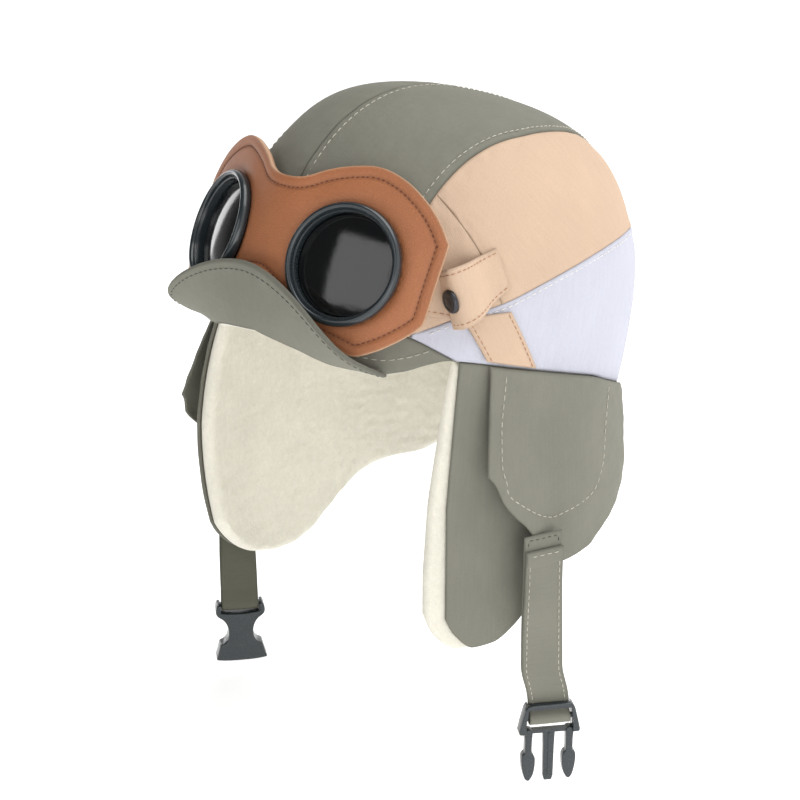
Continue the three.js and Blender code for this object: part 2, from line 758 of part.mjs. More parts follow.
function maskPoint(u, v, offset) {
  const steps = 40;
  const reach = Math.abs(u);
  let x = 0;
  let back = 0;
  for (let i = 0; i < steps; i += 1) {
    const yaw = rad(lookUp(maskBend, "u", "yaw", ((i + 0.5) / steps) * (reach / maskHalfWidth)));
    x += (Math.cos(yaw) * reach) / steps;
    back += (Math.sin(yaw) * reach) / steps;
  }
  const yaw = rad(lookUp(maskBend, "u", "yaw", reach / maskHalfWidth));
  x += offset * Math.sin(yaw);
  back -= offset * Math.cos(yaw);
  return new THREE.Vector3(
    Math.sign(u) * x,
    maskCentreY + back * Math.cos(maskLean) + v * Math.sin(maskLean),
    maskCentreZ - back * Math.sin(maskLean) + v * Math.cos(maskLean),
  );
}

// Outline of the mask on one side, as shares of its half-width and height
const maskOutline = [
  { u: 0, v: 0.69 },
  { u: 0.12, v: 0.72 },
  { u: 0.25, v: 0.85 },
  { u: 0.37, v: 0.94 },
  { u: 0.5, v: 1 },
  { u: 0.6, v: 0.99 },
  { u: 0.71, v: 0.93 },
  { u: 0.82, v: 0.82 },
  { u: 0.91, v: 0.69 },
  { u: 1, v: 0.47 },
  { u: 1, v: -0.26 },
  { u: 0.94, v: -0.42 },
  { u: 0.88, v: -0.53 },
  { u: 0.8, v: -0.65 },
  { u: 0.7, v: -0.76 },
  { u: 0.6, v: -0.74 },
  { u: 0.45, v: -0.7 },
  { u: 0.3, v: -0.62 },
  { u: 0.18, v: -0.46 },
  { u: 0.08, v: -0.34 },
  { u: 0, v: -0.3 },
];

function ringPlace(sign) {
  const place = maskPoint(sign * ringSet, ringLift, 0);
  const turn = new THREE.Euler(Math.PI - maskLean, 0, sign * ringYaw, "ZXY");
  return { place, turn };
}

function atRing(geometry, sign) {
  const { place, turn } = ringPlace(sign);
  geometry.applyMatrix4(new THREE.Matrix4().makeRotationFromEuler(turn));
  geometry.translate(place.x, place.y, place.z);
  return geometry;
}

function goggleMask() {
  const [wide, high] = [maskHalfWidth * 1.05, maskHeight * 1.3];
  const face = (offset) => (u, v) => maskPoint((2 * u - 1) * wide, (2 * v - 1) * high, offset);
  const slab = toSolid(sheet(20, 1, face(leatherWall / 2), face(-leatherWall / 2)));
  const front = maskOutline.map(({ u, v }) => maskPoint(u * maskHalfWidth, v * maskHeight, 0));
  const outline = front.map((p) => [p.x, p.z]);
  const other = front.slice(1, -1).map((p) => [-p.x, p.z]).reverse();
  let solid = slab.intersect(prism([...outline, ...other], "y", -far, far));
  for (const sign of [1, -1]) {
    const hole = new THREE.CylinderGeometry(holeRadius, holeRadius, ringRadius, 24);
    solid = solid.subtract(toSolid(atRing(hole, sign)));
  }
  return mesh("goggle_mask", toGeometry(solid), "tan");
}

// Rings and lenses are turned about their own axis, which looks out of the mask
function lathed(profile, steps) {
  return new THREE.LatheGeometry(profile.map(([r, h]) => new THREE.Vector2(r, h)), steps);
}

function cleaned(geometry) {
  return toGeometry(toSolid(geometry));
}

function goggles() {
  const made = [goggleMask()];
  for (const side of sides) {
    const inner = ringRadius - ringWall;
    const neck = holeRadius - seamGap;
    const seat = leatherWall / 2 + seamGap + 0.8;
    const profile = [
      [inner, -leatherWall / 2], [neck, -leatherWall / 2], [neck, seat], [ringRadius, seat + 0.4],
      [ringRadius, ringStand - 1.6], [ringRadius - 1.3, ringStand], [inner + 1, ringStand],
      [inner, ringStand - 1], [inner, -leatherWall / 2],
    ];
    const ring = atRing(cleaned(lathed(profile, 28)), side.sign);
    const edge = inner - seamGap;
    const back = -leatherWall / 2;
    const glass = [
      [0, back + lensDome], [edge * 0.6, back + lensDome * 0.64], [edge, back], [edge, back + lensWall],
      [edge * 0.6, back + lensWall + lensDome * 0.64], [0, back + lensWall + lensDome],
    ];
    const lens = atRing(cleaned(lathed(glass, 24)), side.sign);
    made.push(mesh(`lens_ring_${side.name}`, ring, "black"), mesh(`lens_${side.name}`, lens, "lens"));
  }
  return made;
}

// Patch on the wearer's left of the dome between four corners given in the side view
function cornerMix(corners, u, v) {
  const mix = (column) => (1 - u) * ((1 - v) * corners[0][column] + v * corners[3][column])
    + u * ((1 - v) * corners[1][column] + v * corners[2][column]);
  return [mix("y") * crownFrontReach, mix("z") * crownHeight];
}

function patch(corners, uSteps, vSteps, offset, wall) {
  const face = (extra) => (u, v) => sidePoint(...cornerMix(corners, u, v), offset(u, v) + extra);
  return sheet(uSteps, vSteps, face(wall), face(0));
}

// Side band from the rim up to the keeper tab; the goggle strap lies on it and the tab over both
const bandCorners = [
  { y: -0.42, z: 0.022 },
  { y: -0.185, z: 0.022 },
  { y: -0.36, z: 0.22 },
  { y: -0.555, z: 0.17 },
];
const tabCorners = [
  { y: -0.57, z: 0.13 },
  { y: -0.38, z: 0.3 },
  { y: -0.45, z: 0.44 },
  { y: -0.65, z: 0.32 },
];
const strapEnd = { y: -0.49, z: 0.24 };
const snapSpot = { u: 0.14, v: 0.55 };

const onBand = seamGap + trimWall + seamGap;
const onStrap = onBand + trimWall + seamGap;

// The tab lies on the crown at its rear end, rises over the strap and bends down round its front
function tabOffset(u) {
  const rear = smooth((1 - u) / 0.4);
  return seamGap + (onStrap - seamGap) * rear + tabRise * smooth(u / 0.3) * smooth((0.85 - u) / 0.45);
}

// Short strap from behind the outer end of the mask to under the keeper tab
function goggleStrap() {
  const behind = -leatherWall / 2 - seamGap - trimWall;
  const endY = strapEnd.y * crownFrontReach;
  const endZ = strapEnd.z * crownHeight;
  const face = (extra) => (u, v) => {
    const across = (v - 0.5) * strapHeight;
    if (u <= 0.5) return maskPoint(maskHalfWidth * (0.8 + 0.34 * u), across, behind + extra);
    const t = (u - 0.5) / 0.5;
    const start = maskPoint(maskHalfWidth * 0.97, across, behind + extra);
    const y = start.y + (endY - start.y) * t;
    const z = start.z + (endZ + across - start.z) * t;
    const onCrown = sidePoint(y, z, onBand + extra);
    return onCrown.lerp(new THREE.Vector3(start.x, y, z), 1 - smooth(t * 2.4));
  };
  return sheet(12, 2, face(trimWall), face(0));
}

// Snap cap on the front of the tab, its axis along the tab's own normal
function snapCap(tabFace) {
  const { u, v } = snapSpot;
  const step = 0.02;
  const spot = tabFace(u, v);
  const along = tabFace(u + step, v).sub(tabFace(u - step, v));
  const up = tabFace(u, v + step).sub(tabFace(u, v - step));
  const normal = along.cross(up).normalize();
  if (normal.x < 0) normal.negate();
  const [shoulder, crest] = [0.5 * snapWall, 0.8 * snapRadius];
  const profile = [[0, 0], [snapRadius, 0], [snapRadius, shoulder], [crest, snapWall], [0, snapWall]];
  const cap = cleaned(lathed(profile, 16));
  const turn = new THREE.Quaternion().setFromUnitVectors(new THREE.Vector3(0, 1, 0), normal);
  cap.applyQuaternion(turn);
  const seat = spot.addScaledVector(normal, trimWall + 3 * seamGap);
  cap.translate(seat.x, seat.y, seat.z);
  return cap;
}

function sideTrim() {
  const tab = patch(tabCorners, 10, 3, tabOffset, trimWall);
  const tabFace = (u, v) => sidePoint(...cornerMix(tabCorners, u, v), tabOffset(u));
  return pairs({
    side_band: [patch(bandCorners, 2, 5, () => seamGap, trimWall), "beige"],
    goggle_strap: [goggleStrap(), "beige"],
    keeper_tab: [tab, "beige"],
    snap: [snapCap(tabFace), "gunmetal"],
  });
}

const crown = new THREE.Group();
crown.rotation.x = -crownPitch;
crown.add(...crownPanels(), crownLining(), peak(), ...goggles(), ...sideTrim());

const liningOffset = -clothWall - seamGap;
const hat = new THREE.Group();
hat.add(crown);
hat.add(skirt("flap_cover", "olive", 0, -clothWall, skirtFront + 1, 0, false));
hat.add(skirt("flap_lining", "fleece", liningOffset, liningOffset - flapPile, skirtFront + 0.3, 1.5, true));
for (const side of sides) hat.add(outerFlap(side));
for (const strap of straps) hat.add(chinStrap(strap));
hat.add(bucklePlug(straps[0]), buckleSocket(straps[1]));

export default hat;
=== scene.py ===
import math
import bmesh
import bpy
import numpy as np
from mathutils import Matrix, Vector
from mathutils.geometry import delaunay_2d_cdt


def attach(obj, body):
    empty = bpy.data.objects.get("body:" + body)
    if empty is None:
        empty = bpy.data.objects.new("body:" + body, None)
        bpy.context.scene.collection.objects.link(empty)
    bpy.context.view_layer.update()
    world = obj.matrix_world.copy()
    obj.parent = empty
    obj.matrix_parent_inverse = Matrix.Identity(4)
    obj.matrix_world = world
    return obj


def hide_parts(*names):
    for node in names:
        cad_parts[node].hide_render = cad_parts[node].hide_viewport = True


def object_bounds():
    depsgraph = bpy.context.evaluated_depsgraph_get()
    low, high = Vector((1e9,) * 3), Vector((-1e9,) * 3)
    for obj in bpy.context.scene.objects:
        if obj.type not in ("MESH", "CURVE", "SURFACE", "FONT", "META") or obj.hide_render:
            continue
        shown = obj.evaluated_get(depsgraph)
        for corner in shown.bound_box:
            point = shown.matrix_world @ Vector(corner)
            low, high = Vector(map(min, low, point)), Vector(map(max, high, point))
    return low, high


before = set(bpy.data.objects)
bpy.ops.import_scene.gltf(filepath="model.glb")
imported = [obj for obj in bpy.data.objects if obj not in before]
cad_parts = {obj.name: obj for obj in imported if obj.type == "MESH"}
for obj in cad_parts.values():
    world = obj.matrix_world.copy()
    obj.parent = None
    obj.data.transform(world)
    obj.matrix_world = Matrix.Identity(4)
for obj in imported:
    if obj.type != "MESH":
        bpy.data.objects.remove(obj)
cad_box = [list(corner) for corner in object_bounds()]
scene = bpy.context.scene

# Sizes are in millimetres here, as in the solids, and become metres when a mesh is made
MM = 0.001

# Crown
HALF_WIDTH = 91.0
FRONT_REACH = 110.0
REAR_REACH = 107.0
HEIGHT = 118.0
ROUND = 2.6
PITCH = math.radians(17)
FRONT_DROP = 12.5
CLOTH = 1.6
GAP = 0.3

# Flaps
SKIRT_DROP = 130.0
SWELL_DEPTH = 70.0
BACK_TUCK = 4.0
FLAP_DROP = 87.0
FLAP_BULGE = 7.0
FLAP_TWIST = 6.0
FLARE_DEPTH = 80.0
ROLL_DEPTH = 105.0
SKIRT_FRONT = 57.4
FLAP_PILE = 8.0
CROWN_PILE = 5.0

# Goggles
MASK_Y = -113.0
MASK_Z = 32.0
MASK_LEAN = math.radians(8.5)
MASK_WIDE = 84.0
MASK_HIGH = 46.0
LEATHER = 2.2
RING_SET = 42.5
RING_LIFT = 1.5
RING_YAW = math.radians(20)
HOLE = 25.0

# Straps
STRAP_DROP = 180.0
WEB_WIDTH = 20.0
WEB = 1.2
LOOP = 2.3
LAYER = 0.2
FRAME_HIGH = 16.0
STRAP_STEP = 7.0
STAND_OFF = 1.5


def smooth(t):
    c = np.clip(t, 0, 1)
    return c * c * (3 - 2 * c)


def curve(rows):
    """Smooth line through a table's rows that doesn't overshoot them."""
    x, y = (np.array(column, float) for column in zip(*rows))
    step = np.diff(x)
    slope = np.diff(y) / step
    tangent = np.zeros_like(y)
    product = slope[:-1] * slope[1:]
    total = slope[:-1] + slope[1:]
    tangent[1:-1] = np.where(product > 0, 2 * product / np.where(product > 0, total, 1), 0)
    tangent[0], tangent[-1] = slope[0], slope[-1]

    def at(place):
        q = np.clip(place, x[0], x[-1])
        i = np.clip(np.searchsorted(x, q) - 1, 0, len(step) - 1)
        h = step[i]
        t = (q - x[i]) / h
        a, b = y[i], y[i + 1]
        m, n = tangent[i] * h, tangent[i + 1] * h
        return a + t * (m + t * (3 * (b - a) - 2 * m - n + t * (2 * (a - b) + m + n)))

    return at


def wobble(points, size, seed, count=7):
    """Seeded soft noise, mostly between -1 and 1, with swells of about that size."""
    draw = np.random.default_rng(seed)
    total = np.zeros(points.shape[:-1])
    for _ in range(count):
        way = draw.normal(size=3)
        way /= np.linalg.norm(way)
        pace = 2 * math.pi / (size * draw.uniform(0.7, 1.6))
        total += np.sin(points @ way * pace + draw.uniform(0, 2 * math.pi))
    return total / math.sqrt(count)


def vectors(x, y, z):
    return np.stack(np.broadcast_arrays(x, y, z), axis=-1).astype(float)


def unit(v):
    return v / np.maximum(np.linalg.norm(v, axis=-1, keepdims=True), 1e-9)


def arc(points):
    """Distance along a line of points, from its start."""
    steps = np.linalg.norm(np.diff(points, axis=0), axis=1)
    return np.concatenate([[0], np.cumsum(steps)])


def resample(points, count):
    along = arc(points)
    places = np.linspace(0, along[-1], count)
    return np.stack([np.interp(places, along, points[:, k]) for k in range(points.shape[1])], axis=1)


def catmull(points, per=8, closed=True):
    p = np.asarray(points, float)
    n = len(p)
    t = np.linspace(0, 1, per, endpoint=False)[:, None]
    out = []
    for i in range(n if closed else n - 1):
        pick = [(i + k) % n if closed else min(max(i + k, 0), n - 1) for k in (-1, 0, 1, 2)]
        a, b, c, d = p[pick]
        out.append(0.5 * (2 * b + (c - a) * t + (2 * a - 5 * b + 4 * c - d) * t ** 2
                          + (3 * b - a - 3 * c + d) * t ** 3))
    if not closed:
        out.append(p[-1:])
    return np.vstack(out)


# Surfaces of the crown, in its own frame, and the tilt that sets it on the hat
def reach(turn):
    return np.where(np.cos(turn) > 0, FRONT_REACH, REAR_REACH)


def reach_y(y):
    return np.where(y < 0, FRONT_REACH, REAR_REACH)


def tilt(points):
    c, s = math.cos(PITCH), math.sin(PITCH)
    x, y, z = np.moveaxis(points, -1, 0)
    return vectors(x, c * y + s * z, -s * y + c * z)


def ring_at(z):
    return (1 - np.clip(z / HEIGHT, 0, 1) ** ROUND) ** (1 / ROUND)


def dome(turn, z):
    ring = ring_at(z)
    return vectors(HALF_WIDTH * ring * np.sin(turn), -reach(turn) * ring * np.cos(turn), z)


def dome_normal(points):
    x, y, z = np.moveaxis(points, -1, 0)
    length = reach_y(y)
    ring = np.sqrt((x / HALF_WIDTH) ** 2 + (y / length) ** 2)
    flat = np.maximum(ring, 1e-4) ** (ROUND - 2)
    rise = np.clip(z, 0, None) ** (ROUND - 1) / HEIGHT ** ROUND
    return unit(vectors(flat * x / HALF_WIDTH ** 2, flat * y / length ** 2, rise))


def side(y, z):
    """Point on the wearer's left of the dome, at a place of the side view."""
    length = reach_y(y)
    x = HALF_WIDTH * np.sqrt(np.maximum(ring_at(z) ** 2 - (y / length) ** 2, 0))
    return vectors(x, y, z)


def on_crown(point_at, sign=1):
    """Place function of a piece that lies on the crown, from its points in the crown's frame."""
    def place(u, v, off):
        base = point_at(u, v)
        raised = base + dome_normal(base) * np.asarray(off)[..., None]
        return tilt(raised * np.array([sign, 1, 1]))
    return place


# Seams, as shares of FRONT_REACH and HEIGHT, or of HALF_WIDTH in plan
rim_drop = curve([
    (0, 0.56), (15, 0.76), (28, 1), (38, 0.96), (45, 0.68), (51, 0.26), (56, 0), (66, -0.1),
    (85, -0.14), (100, -0.1), (112, 0.1), (125, 0.3), (140, 0.4), (180, 0.4),
])
BAND_TOP = [(-1.2, 0.1), (-0.82, 0.08), (-0.71, 0.06), (-0.6, 0.025), (-0.5, -0.01)]
WEDGE_TOP = [
    (-0.71, 0.07), (-0.66, 0.1), (-0.575, 0.155), (-0.38, 0.25), (-0.23, 0.335),
    (-0.08, 0.41), (0.11, 0.49), (0.3, 0.55), (0.5, 0.59), (1.2, 0.62),
]
band_top = curve(BAND_TOP)
wedge_top = curve(WEDGE_TOP)
upper_floor = curve(BAND_TOP[:2] + WEDGE_TOP)
front_seam = curve([(0.245, -0.4), (0.415, -0.51), (0.6, -0.66)])
plan_seam = curve([
    (-1.2, 0.6), (-0.66, 0.615), (-0.24, 0.61), (-0.1, 0.59), (0.06, 0.55),
    (0.21, 0.49), (0.4, 0.415), (0.6, 0.35), (1.2, 0.28),
])


def rim(turn):
    degrees = np.abs(np.degrees(np.arctan2(np.sin(turn), np.cos(turn))))
    return -FRONT_DROP * rim_drop(degrees)


def level_on(turn, line):
    """Height at which a seam, a function of the side view, crosses each meridian."""
    low, high = np.full_like(turn, -20.0), np.full_like(turn, 0.93 * HEIGHT)
    for _ in range(40):
        z = (low + high) / 2
        above = z > HEIGHT * line(dome(turn, z)[..., 1] / FRONT_REACH)
        low, high = np.where(above, low, z), np.where(above, z, high)
    return (low + high) / 2


def table_place(table):
    """Reads points between those of a table, by shares u and v."""
    nu, nv = table.shape[0] - 1, table.shape[1] - 1

    def at(u, v):
        u, v = np.broadcast_arrays(u, v)
        a, b = np.clip(u, 0, 1) * nu, np.clip(v, 0, 1) * nv
        i, j = np.minimum(a.astype(int), nu - 1), np.minimum(b.astype(int), nv - 1)
        s, t = (a - i)[..., None], (b - j)[..., None]
        near = table[i, j] * (1 - t) + table[i, j + 1] * t
        far = table[i + 1, j] * (1 - t) + table[i + 1, j + 1] * t
        return near * (1 - s) + far * s

    return at


def top_rows(shares, count=321):
    """Lines along the crown at shares of the way from the centre seam to the arched seam."""
    angle = np.linspace(0, math.pi, 6000)
    y = np.where(angle < math.pi / 2, -FRONT_REACH * np.cos(angle), -REAR_REACH * np.cos(angle))
    length = reach_y(y)
    rows = []
    for share in shares:
        x = 0.15 + share * (HALF_WIDTH * plan_seam(y / FRONT_REACH) - 0.35)
        ring = np.sqrt((x / HALF_WIDTH) ** 2 + (y / length) ** 2)
        z = HEIGHT * np.clip(1 - ring ** ROUND, 0, None) ** (1 / ROUND)
        inside = z > HEIGHT * upper_floor(y / FRONT_REACH) + 0.2
        middle = len(y) // 2
        first = middle - np.argmin(inside[middle::-1]) + 1
        last = middle + np.argmin(inside[middle:]) - 1
        rows.append(resample(vectors(x, y, z)[first:last + 1], count))
    return np.array(rows)


def coons(bottom, top, left, right):
    """Patch between four lines of points of equal counts in pairs."""
    s = np.linspace(0, 1, len(bottom))[:, None, None]
    t = np.linspace(0, 1, len(left))[None, :, None]
    ruled = (1 - t) * bottom[:, None] + t * top[:, None]
    across = (1 - s) * left[None] + s * right[None]
    corners = ((1 - s) * (1 - t) * bottom[0] + s * (1 - t) * bottom[-1]
               + (1 - s) * t * top[0] + s * t * top[-1])
    return ruled + across - corners


def as_turns(points):
    x, y, z = points.T
    return np.stack([np.arctan2(x / HALF_WIDTH, -y / reach_y(y)), z], 1)


top_table = top_rows(np.linspace(0, 1, 61))
arch = as_turns(top_table[-1])
arch_y = top_table[-1][:, 1]
seam_gap_y = arch_y - FRONT_REACH * front_seam(top_table[-1][:, 2] / HEIGHT)
split = int(np.argmax((seam_gap_y > 0) & (top_table[-1][:, 2] > 40)))
foot_turns = np.linspace(math.radians(45), math.radians(110), 2000)
foot_z = level_on(foot_turns, wedge_top)
foot_y = dome(foot_turns, foot_z)[:, 1]
foot = int(np.argmax(foot_y - FRONT_REACH * front_seam(foot_z / HEIGHT) > 0))
foot_turn = foot_turns[foot]


def seam_line(turn_from, turn_to, line, count=121):
    turn = np.linspace(turn_from, turn_to, count)
    return np.stack([turn, level_on(turn, line)], 1)


def front_seam_line(count=81):
    z = np.linspace(foot_z[foot], arch[split, 1], count)
    y = FRONT_REACH * front_seam(z / HEIGHT)
    points = side(y, z)
    return as_turns(points)


seam_edge = front_seam_line()
seam_edge[0] = (foot_turn, foot_z[foot])
seam_edge[-1] = arch[split]
fore_top = resample(arch[:split + 1], 121)
aft_top = resample(arch[split:], 121)
fore_floor = seam_line(arch[0, 0], foot_turn, upper_floor)
fore_floor[0] = arch[0]
fore_floor[-1] = seam_edge[0]
aft_floor = seam_line(foot_turn, arch[-1, 0], wedge_top)
aft_floor[0] = seam_edge[0]
aft_floor[-1] = arch[-1]
fore_table = coons(fore_floor, fore_top, np.repeat(arch[:1], 81, 0), seam_edge)
aft_table = coons(aft_floor, aft_top, seam_edge, np.repeat(arch[-1:], 81, 0))
fore_table = dome(fore_table[..., 0], fore_table[..., 1])
aft_table = dome(aft_table[..., 0], aft_table[..., 1])

wedge_turns = np.linspace(math.radians(45.2), math.pi - 0.0018, 321)
wedge_low = np.maximum(level_on(wedge_turns, band_top), rim(wedge_turns))
wedge_low = np.where(wedge_turns > math.radians(58), rim(wedge_turns), wedge_low)
wedge_high = np.maximum(level_on(wedge_turns, wedge_top), wedge_low + 0.3)
band_turns = np.linspace(-math.radians(57.5), math.radians(57.5), 241)
band_high = level_on(band_turns, band_top) - 0.2
band_low = np.minimum(rim(band_turns), band_high - 0.2)


def between(turns, low, high, count=61):
    v = np.linspace(0, 1, count)[None]
    z = low[:, None] * (1 - v) + high[:, None] * v
    return dome(np.repeat(turns[:, None], count, 1), z)


wedge_table = between(wedge_turns, wedge_low, wedge_high, 121)
band_table = between(band_turns, band_low, band_high)


# Meshes
def make_object(name, points, faces, uv=None, values=None):
    mesh = bpy.data.meshes.new(name)
    mesh.from_pydata((np.asarray(points) * MM).tolist(), [], [list(f) for f in faces])
    mesh.polygons.foreach_set("use_smooth", np.ones(len(mesh.polygons), bool))
    if uv is not None:
        layer = mesh.uv_layers.new(name="cloth")
        corner = np.zeros(len(mesh.loops), int)
        mesh.loops.foreach_get("vertex_index", corner)
        layer.data.foreach_set("uv", (np.asarray(uv)[corner] * MM).ravel())
    for key, data in (values or {}).items():
        store = mesh.attributes.new(key, "FLOAT", "POINT")
        store.data.foreach_set("value", np.asarray(data, np.float32).ravel())
    made = bpy.data.objects.new(name, mesh)
    scene.collection.objects.link(made)
    return made


def welded(made, distance=1e-6):
    work = bmesh.new()
    work.from_mesh(made.data)
    bmesh.ops.remove_doubles(work, verts=work.verts, dist=distance)
    bmesh.ops.dissolve_degenerate(work, edges=work.edges, dist=distance)
    work.to_mesh(made.data)
    work.free()
    return made


def volume_sign(points, faces):
    f = np.asarray(faces)
    a, b, c, d = (points[f[:, k]] for k in range(4))
    volume = np.einsum("ij,ij->i", np.cross(a, b), c) + np.einsum("ij,ij->i", np.cross(a, c), d)
    return np.sign(volume.sum())


def spacing(length, count, radius, steps):
    """Shares along each length, with close rows within radius of both ends, and distances from the ends."""
    length = np.asarray(length, float)[:, None]
    near = np.minimum(radius, length / 4)
    ends = near * (1 - np.cos(np.linspace(0, math.pi / 2, steps + 1)))[None]
    inner = near + (length - 2 * near) * np.linspace(0, 1, count + 1)[None, 1:-1]
    places = np.hstack([ends, inner, (length - ends)[:, ::-1]])
    return places / np.maximum(length, 1e-6), np.minimum(places, length - places)


def pillow(name, place, half, mid, radius, columns, rows, lift, steps=4, weld=False):
    """Closed sheet round a middle surface, its edges rounded within radius, with cloth lengths as its UVs."""
    coarse = np.linspace(0, 1, 41)
    cu, cv = np.meshgrid(coarse, coarse, indexing="ij")
    probe = place(cu, cv, mid)
    across = np.linalg.norm(np.diff(probe, axis=0), axis=-1).sum(0)
    along = np.linalg.norm(np.diff(probe, axis=1), axis=-1).sum(1)
    u, du = spacing([across.mean()], columns, radius, steps)
    lengths = np.interp(u[0], coarse, along)
    v, dv = spacing(lengths, rows, radius, steps)
    u = np.repeat(u.T, v.shape[1], 1)
    du = np.repeat(du.T, v.shape[1], 1) * np.interp(v, coarse, across) / across.mean()
    edge = np.minimum(du, dv)
    near = np.minimum(radius, np.minimum(lengths[:, None] / 4, across.mean() / 4))
    full = np.sqrt(np.clip(1 - (1 - np.clip(edge / near, 0, 1)) ** 2, 0, 1))
    middle = place(u, v, mid)
    raised = lift(u, v, edge, middle) * full
    outer = place(u, v, mid + half * full + raised)
    inner = place(u, v, mid - half * full)
    nu, nv = u.shape
    front = np.arange(nu * nv).reshape(nu, nv)
    back = front.copy()
    hidden = np.zeros((nu, nv), bool)
    hidden[1:-1, 1:-1] = True
    back[hidden] = nu * nv + np.arange(hidden.sum())
    points = np.vstack([outer.reshape(-1, 3), inner[hidden]])
    faces = []
    for index, flip in ((front, False), (back, True)):
        quads = np.stack([index[:-1, :-1], index[1:, :-1], index[1:, 1:], index[:-1, 1:]], -1).reshape(-1, 4)
        faces.append(quads[:, ::-1] if flip else quads)
    faces = np.vstack(faces)
    if volume_sign(points, faces) < 0:
        faces = faces[:, ::-1]
    chart = np.stack([u * across.mean(), v * lengths[:, None]], -1)
    uv = np.vstack([chart.reshape(-1, 2), chart[hidden]])
    rims = np.concatenate([edge.ravel(), edge[hidden]])
    made = make_object(name, points, faces, uv, {"rim": rims})
    made["wide"], made["long"] = float(across.max() * MM), float(lengths.max() * MM)
    return welded(made) if weld else made


def declared(made, held, *rests_on):
    """Returns the piece unchanged."""
    return made


# Materials
def nodes_of(name, base, roughness, metallic=0.0, sheen=0.0, specular=0.5, coat=0.0, coat_roughness=0.1):
    material = bpy.data.materials.new(name)
    material.use_nodes = True
    tree = material.node_tree
    shader = tree.nodes["Principled BSDF"]
    shader.inputs["Base Color"].default_value = (*base, 1)
    shader.inputs["Roughness"].default_value = roughness
    shader.inputs["Metallic"].default_value = metallic
    shader.inputs["Sheen Weight"].default_value = sheen
    shader.inputs["Sheen Roughness"].default_value = 0.5
    shader.inputs["Specular IOR Level"].default_value = specular
    shader.inputs["Coat Weight"].default_value = coat
    shader.inputs["Coat Roughness"].default_value = coat_roughness
    return material, tree, shader


def add(tree, kind, inputs=None, **settings):
    node = tree.nodes.new(kind)
    for key, value in settings.items():
        setattr(node, key, value)
    for key, value in (inputs or {}).items():
        if isinstance(value, bpy.types.NodeSocket):
            tree.links.new(value, node.inputs[key])
        else:
            node.inputs[key].default_value = value
    return node


def math_node(tree, operation, a, b=0.0, c=0.0):
    return add(tree, "ShaderNodeMath", {0: a, 1: b, 2: c}, operation=operation).outputs[0]


def noise(tree, vector, scale, detail=3.0, roughness=0.5):
    inputs = {"Vector": vector, "Scale": scale, "Detail": detail, "Roughness": roughness}
    return add(tree, "ShaderNodeTexNoise", inputs).outputs["Fac"]


def ranged(tree, value, low, high, to_low, to_high):
    inputs = {"Value": value, "From Min": low, "From Max": high, "To Min": to_low, "To Max": to_high}
    return add(tree, "ShaderNodeMapRange", inputs).outputs["Result"]


def tinted(tree, base, factor):
    """Base colour times a factor."""
    scaled = add(tree, "ShaderNodeVectorMath", {0: (*base,), "Scale": factor}, operation="SCALE")
    return scaled.outputs["Vector"]


def mixed(tree, factor, a, b):
    """Colour a, going to the plain colour b as the factor goes to 1."""
    return add(tree, "ShaderNodeMix", {0: factor, 6: a, 7: (*b, 1)}, data_type="RGBA").outputs[2]


def bumped(tree, shader, heights):
    """Chain of bumps, each a height from 0 to 1 and its depth in metres."""
    normal = None
    for height, depth in heights:
        inputs = {"Height": height, "Distance": depth, "Strength": 1.0}
        if normal is not None:
            inputs["Normal"] = normal
        normal = add(tree, "ShaderNodeBump", inputs).outputs["Normal"]
    tree.links.new(normal, shader.inputs["Normal"])


def weave(tree, thread):
    """Plain weave on the cloth's own lengths: height from 0 to 1."""
    chart = add(tree, "ShaderNodeUVMap", uv_map="cloth").outputs["UV"]
    pace = 0.314 / (2 * thread * MM)
    bands = []
    for way in ("X", "Y"):
        inputs = {"Vector": chart, "Scale": pace, "Distortion": 0.6, "Detail": 1.0, "Detail Scale": 0.3}
        wave = add(tree, "ShaderNodeTexWave", inputs, wave_type="BANDS", bands_direction=way)
        bands.append(ranged(tree, wave.outputs["Fac"], 0, 1, -1, 1))
    crossed = math_node(tree, "MULTIPLY", bands[0], bands[1])
    return ranged(tree, crossed, -1, 1, 0, 1), chart


# seam is the share of colour left at a piece's edge and reach_mm how far in that painted shade runs
def fabric(name, base, thread=0.42, mottle=0.07, seam=0.72, reach_mm=1.3, sheen=0.25, roughness=0.82):
    material, tree, shader = nodes_of(name, base, roughness, sheen=sheen, specular=0.25)
    shader.inputs["Sheen Tint"].default_value = (*[min(1, c * 1.6) for c in base], 1)
    spot = add(tree, "ShaderNodeTexCoord").outputs["Object"]
    height, chart = weave(tree, thread)
    cloudy = noise(tree, spot, 28, 4)
    speck = noise(tree, spot, 1400, 2, 0.6)
    streak = noise(tree, add(tree, "ShaderNodeMapping", {"Vector": chart, "Scale": (900, 60, 1)}).outputs[0], 1, 2)
    rim_here = add(tree, "ShaderNodeAttribute", attribute_name="rim").outputs["Fac"]
    factor = ranged(tree, cloudy, 0.3, 0.7, 1 - mottle, 1 + mottle)
    factor = math_node(tree, "MULTIPLY", factor, ranged(tree, speck, 0.3, 0.7, 0.96, 1.04))
    factor = math_node(tree, "MULTIPLY", factor, ranged(tree, streak, 0.3, 0.7, 0.975, 1.025))
    factor = math_node(tree, "MULTIPLY", factor, ranged(tree, height, 0, 1, 0.94, 1.04))
    # Darker within reach_mm of each piece's edge: painted shade where the cloth dips into its seams and round its
    # edges
    factor = math_node(tree, "MULTIPLY", factor, ranged(tree, rim_here, 0, reach_mm, seam, 1))
    tree.links.new(tinted(tree, base, factor), shader.inputs["Base Color"])
    tree.links.new(ranged(tree, cloudy, 0.3, 0.7, roughness - 0.06, roughness + 0.06), shader.inputs["Roughness"])
    soft = noise(tree, spot, 55, 3, 0.55)
    bumped(tree, shader, [(soft, 0.0009), (speck, 0.00008), (height, 0.00007)])
    return material


def srgb(*levels, shade=1.0):
    """Linear colour of screen levels, times a shade."""
    shares = [c / 255 for c in levels]
    return tuple(shade * (c / 12.92 if c <= 0.04045 else ((c + 0.055) / 1.055) ** 2.4) for c in shares)


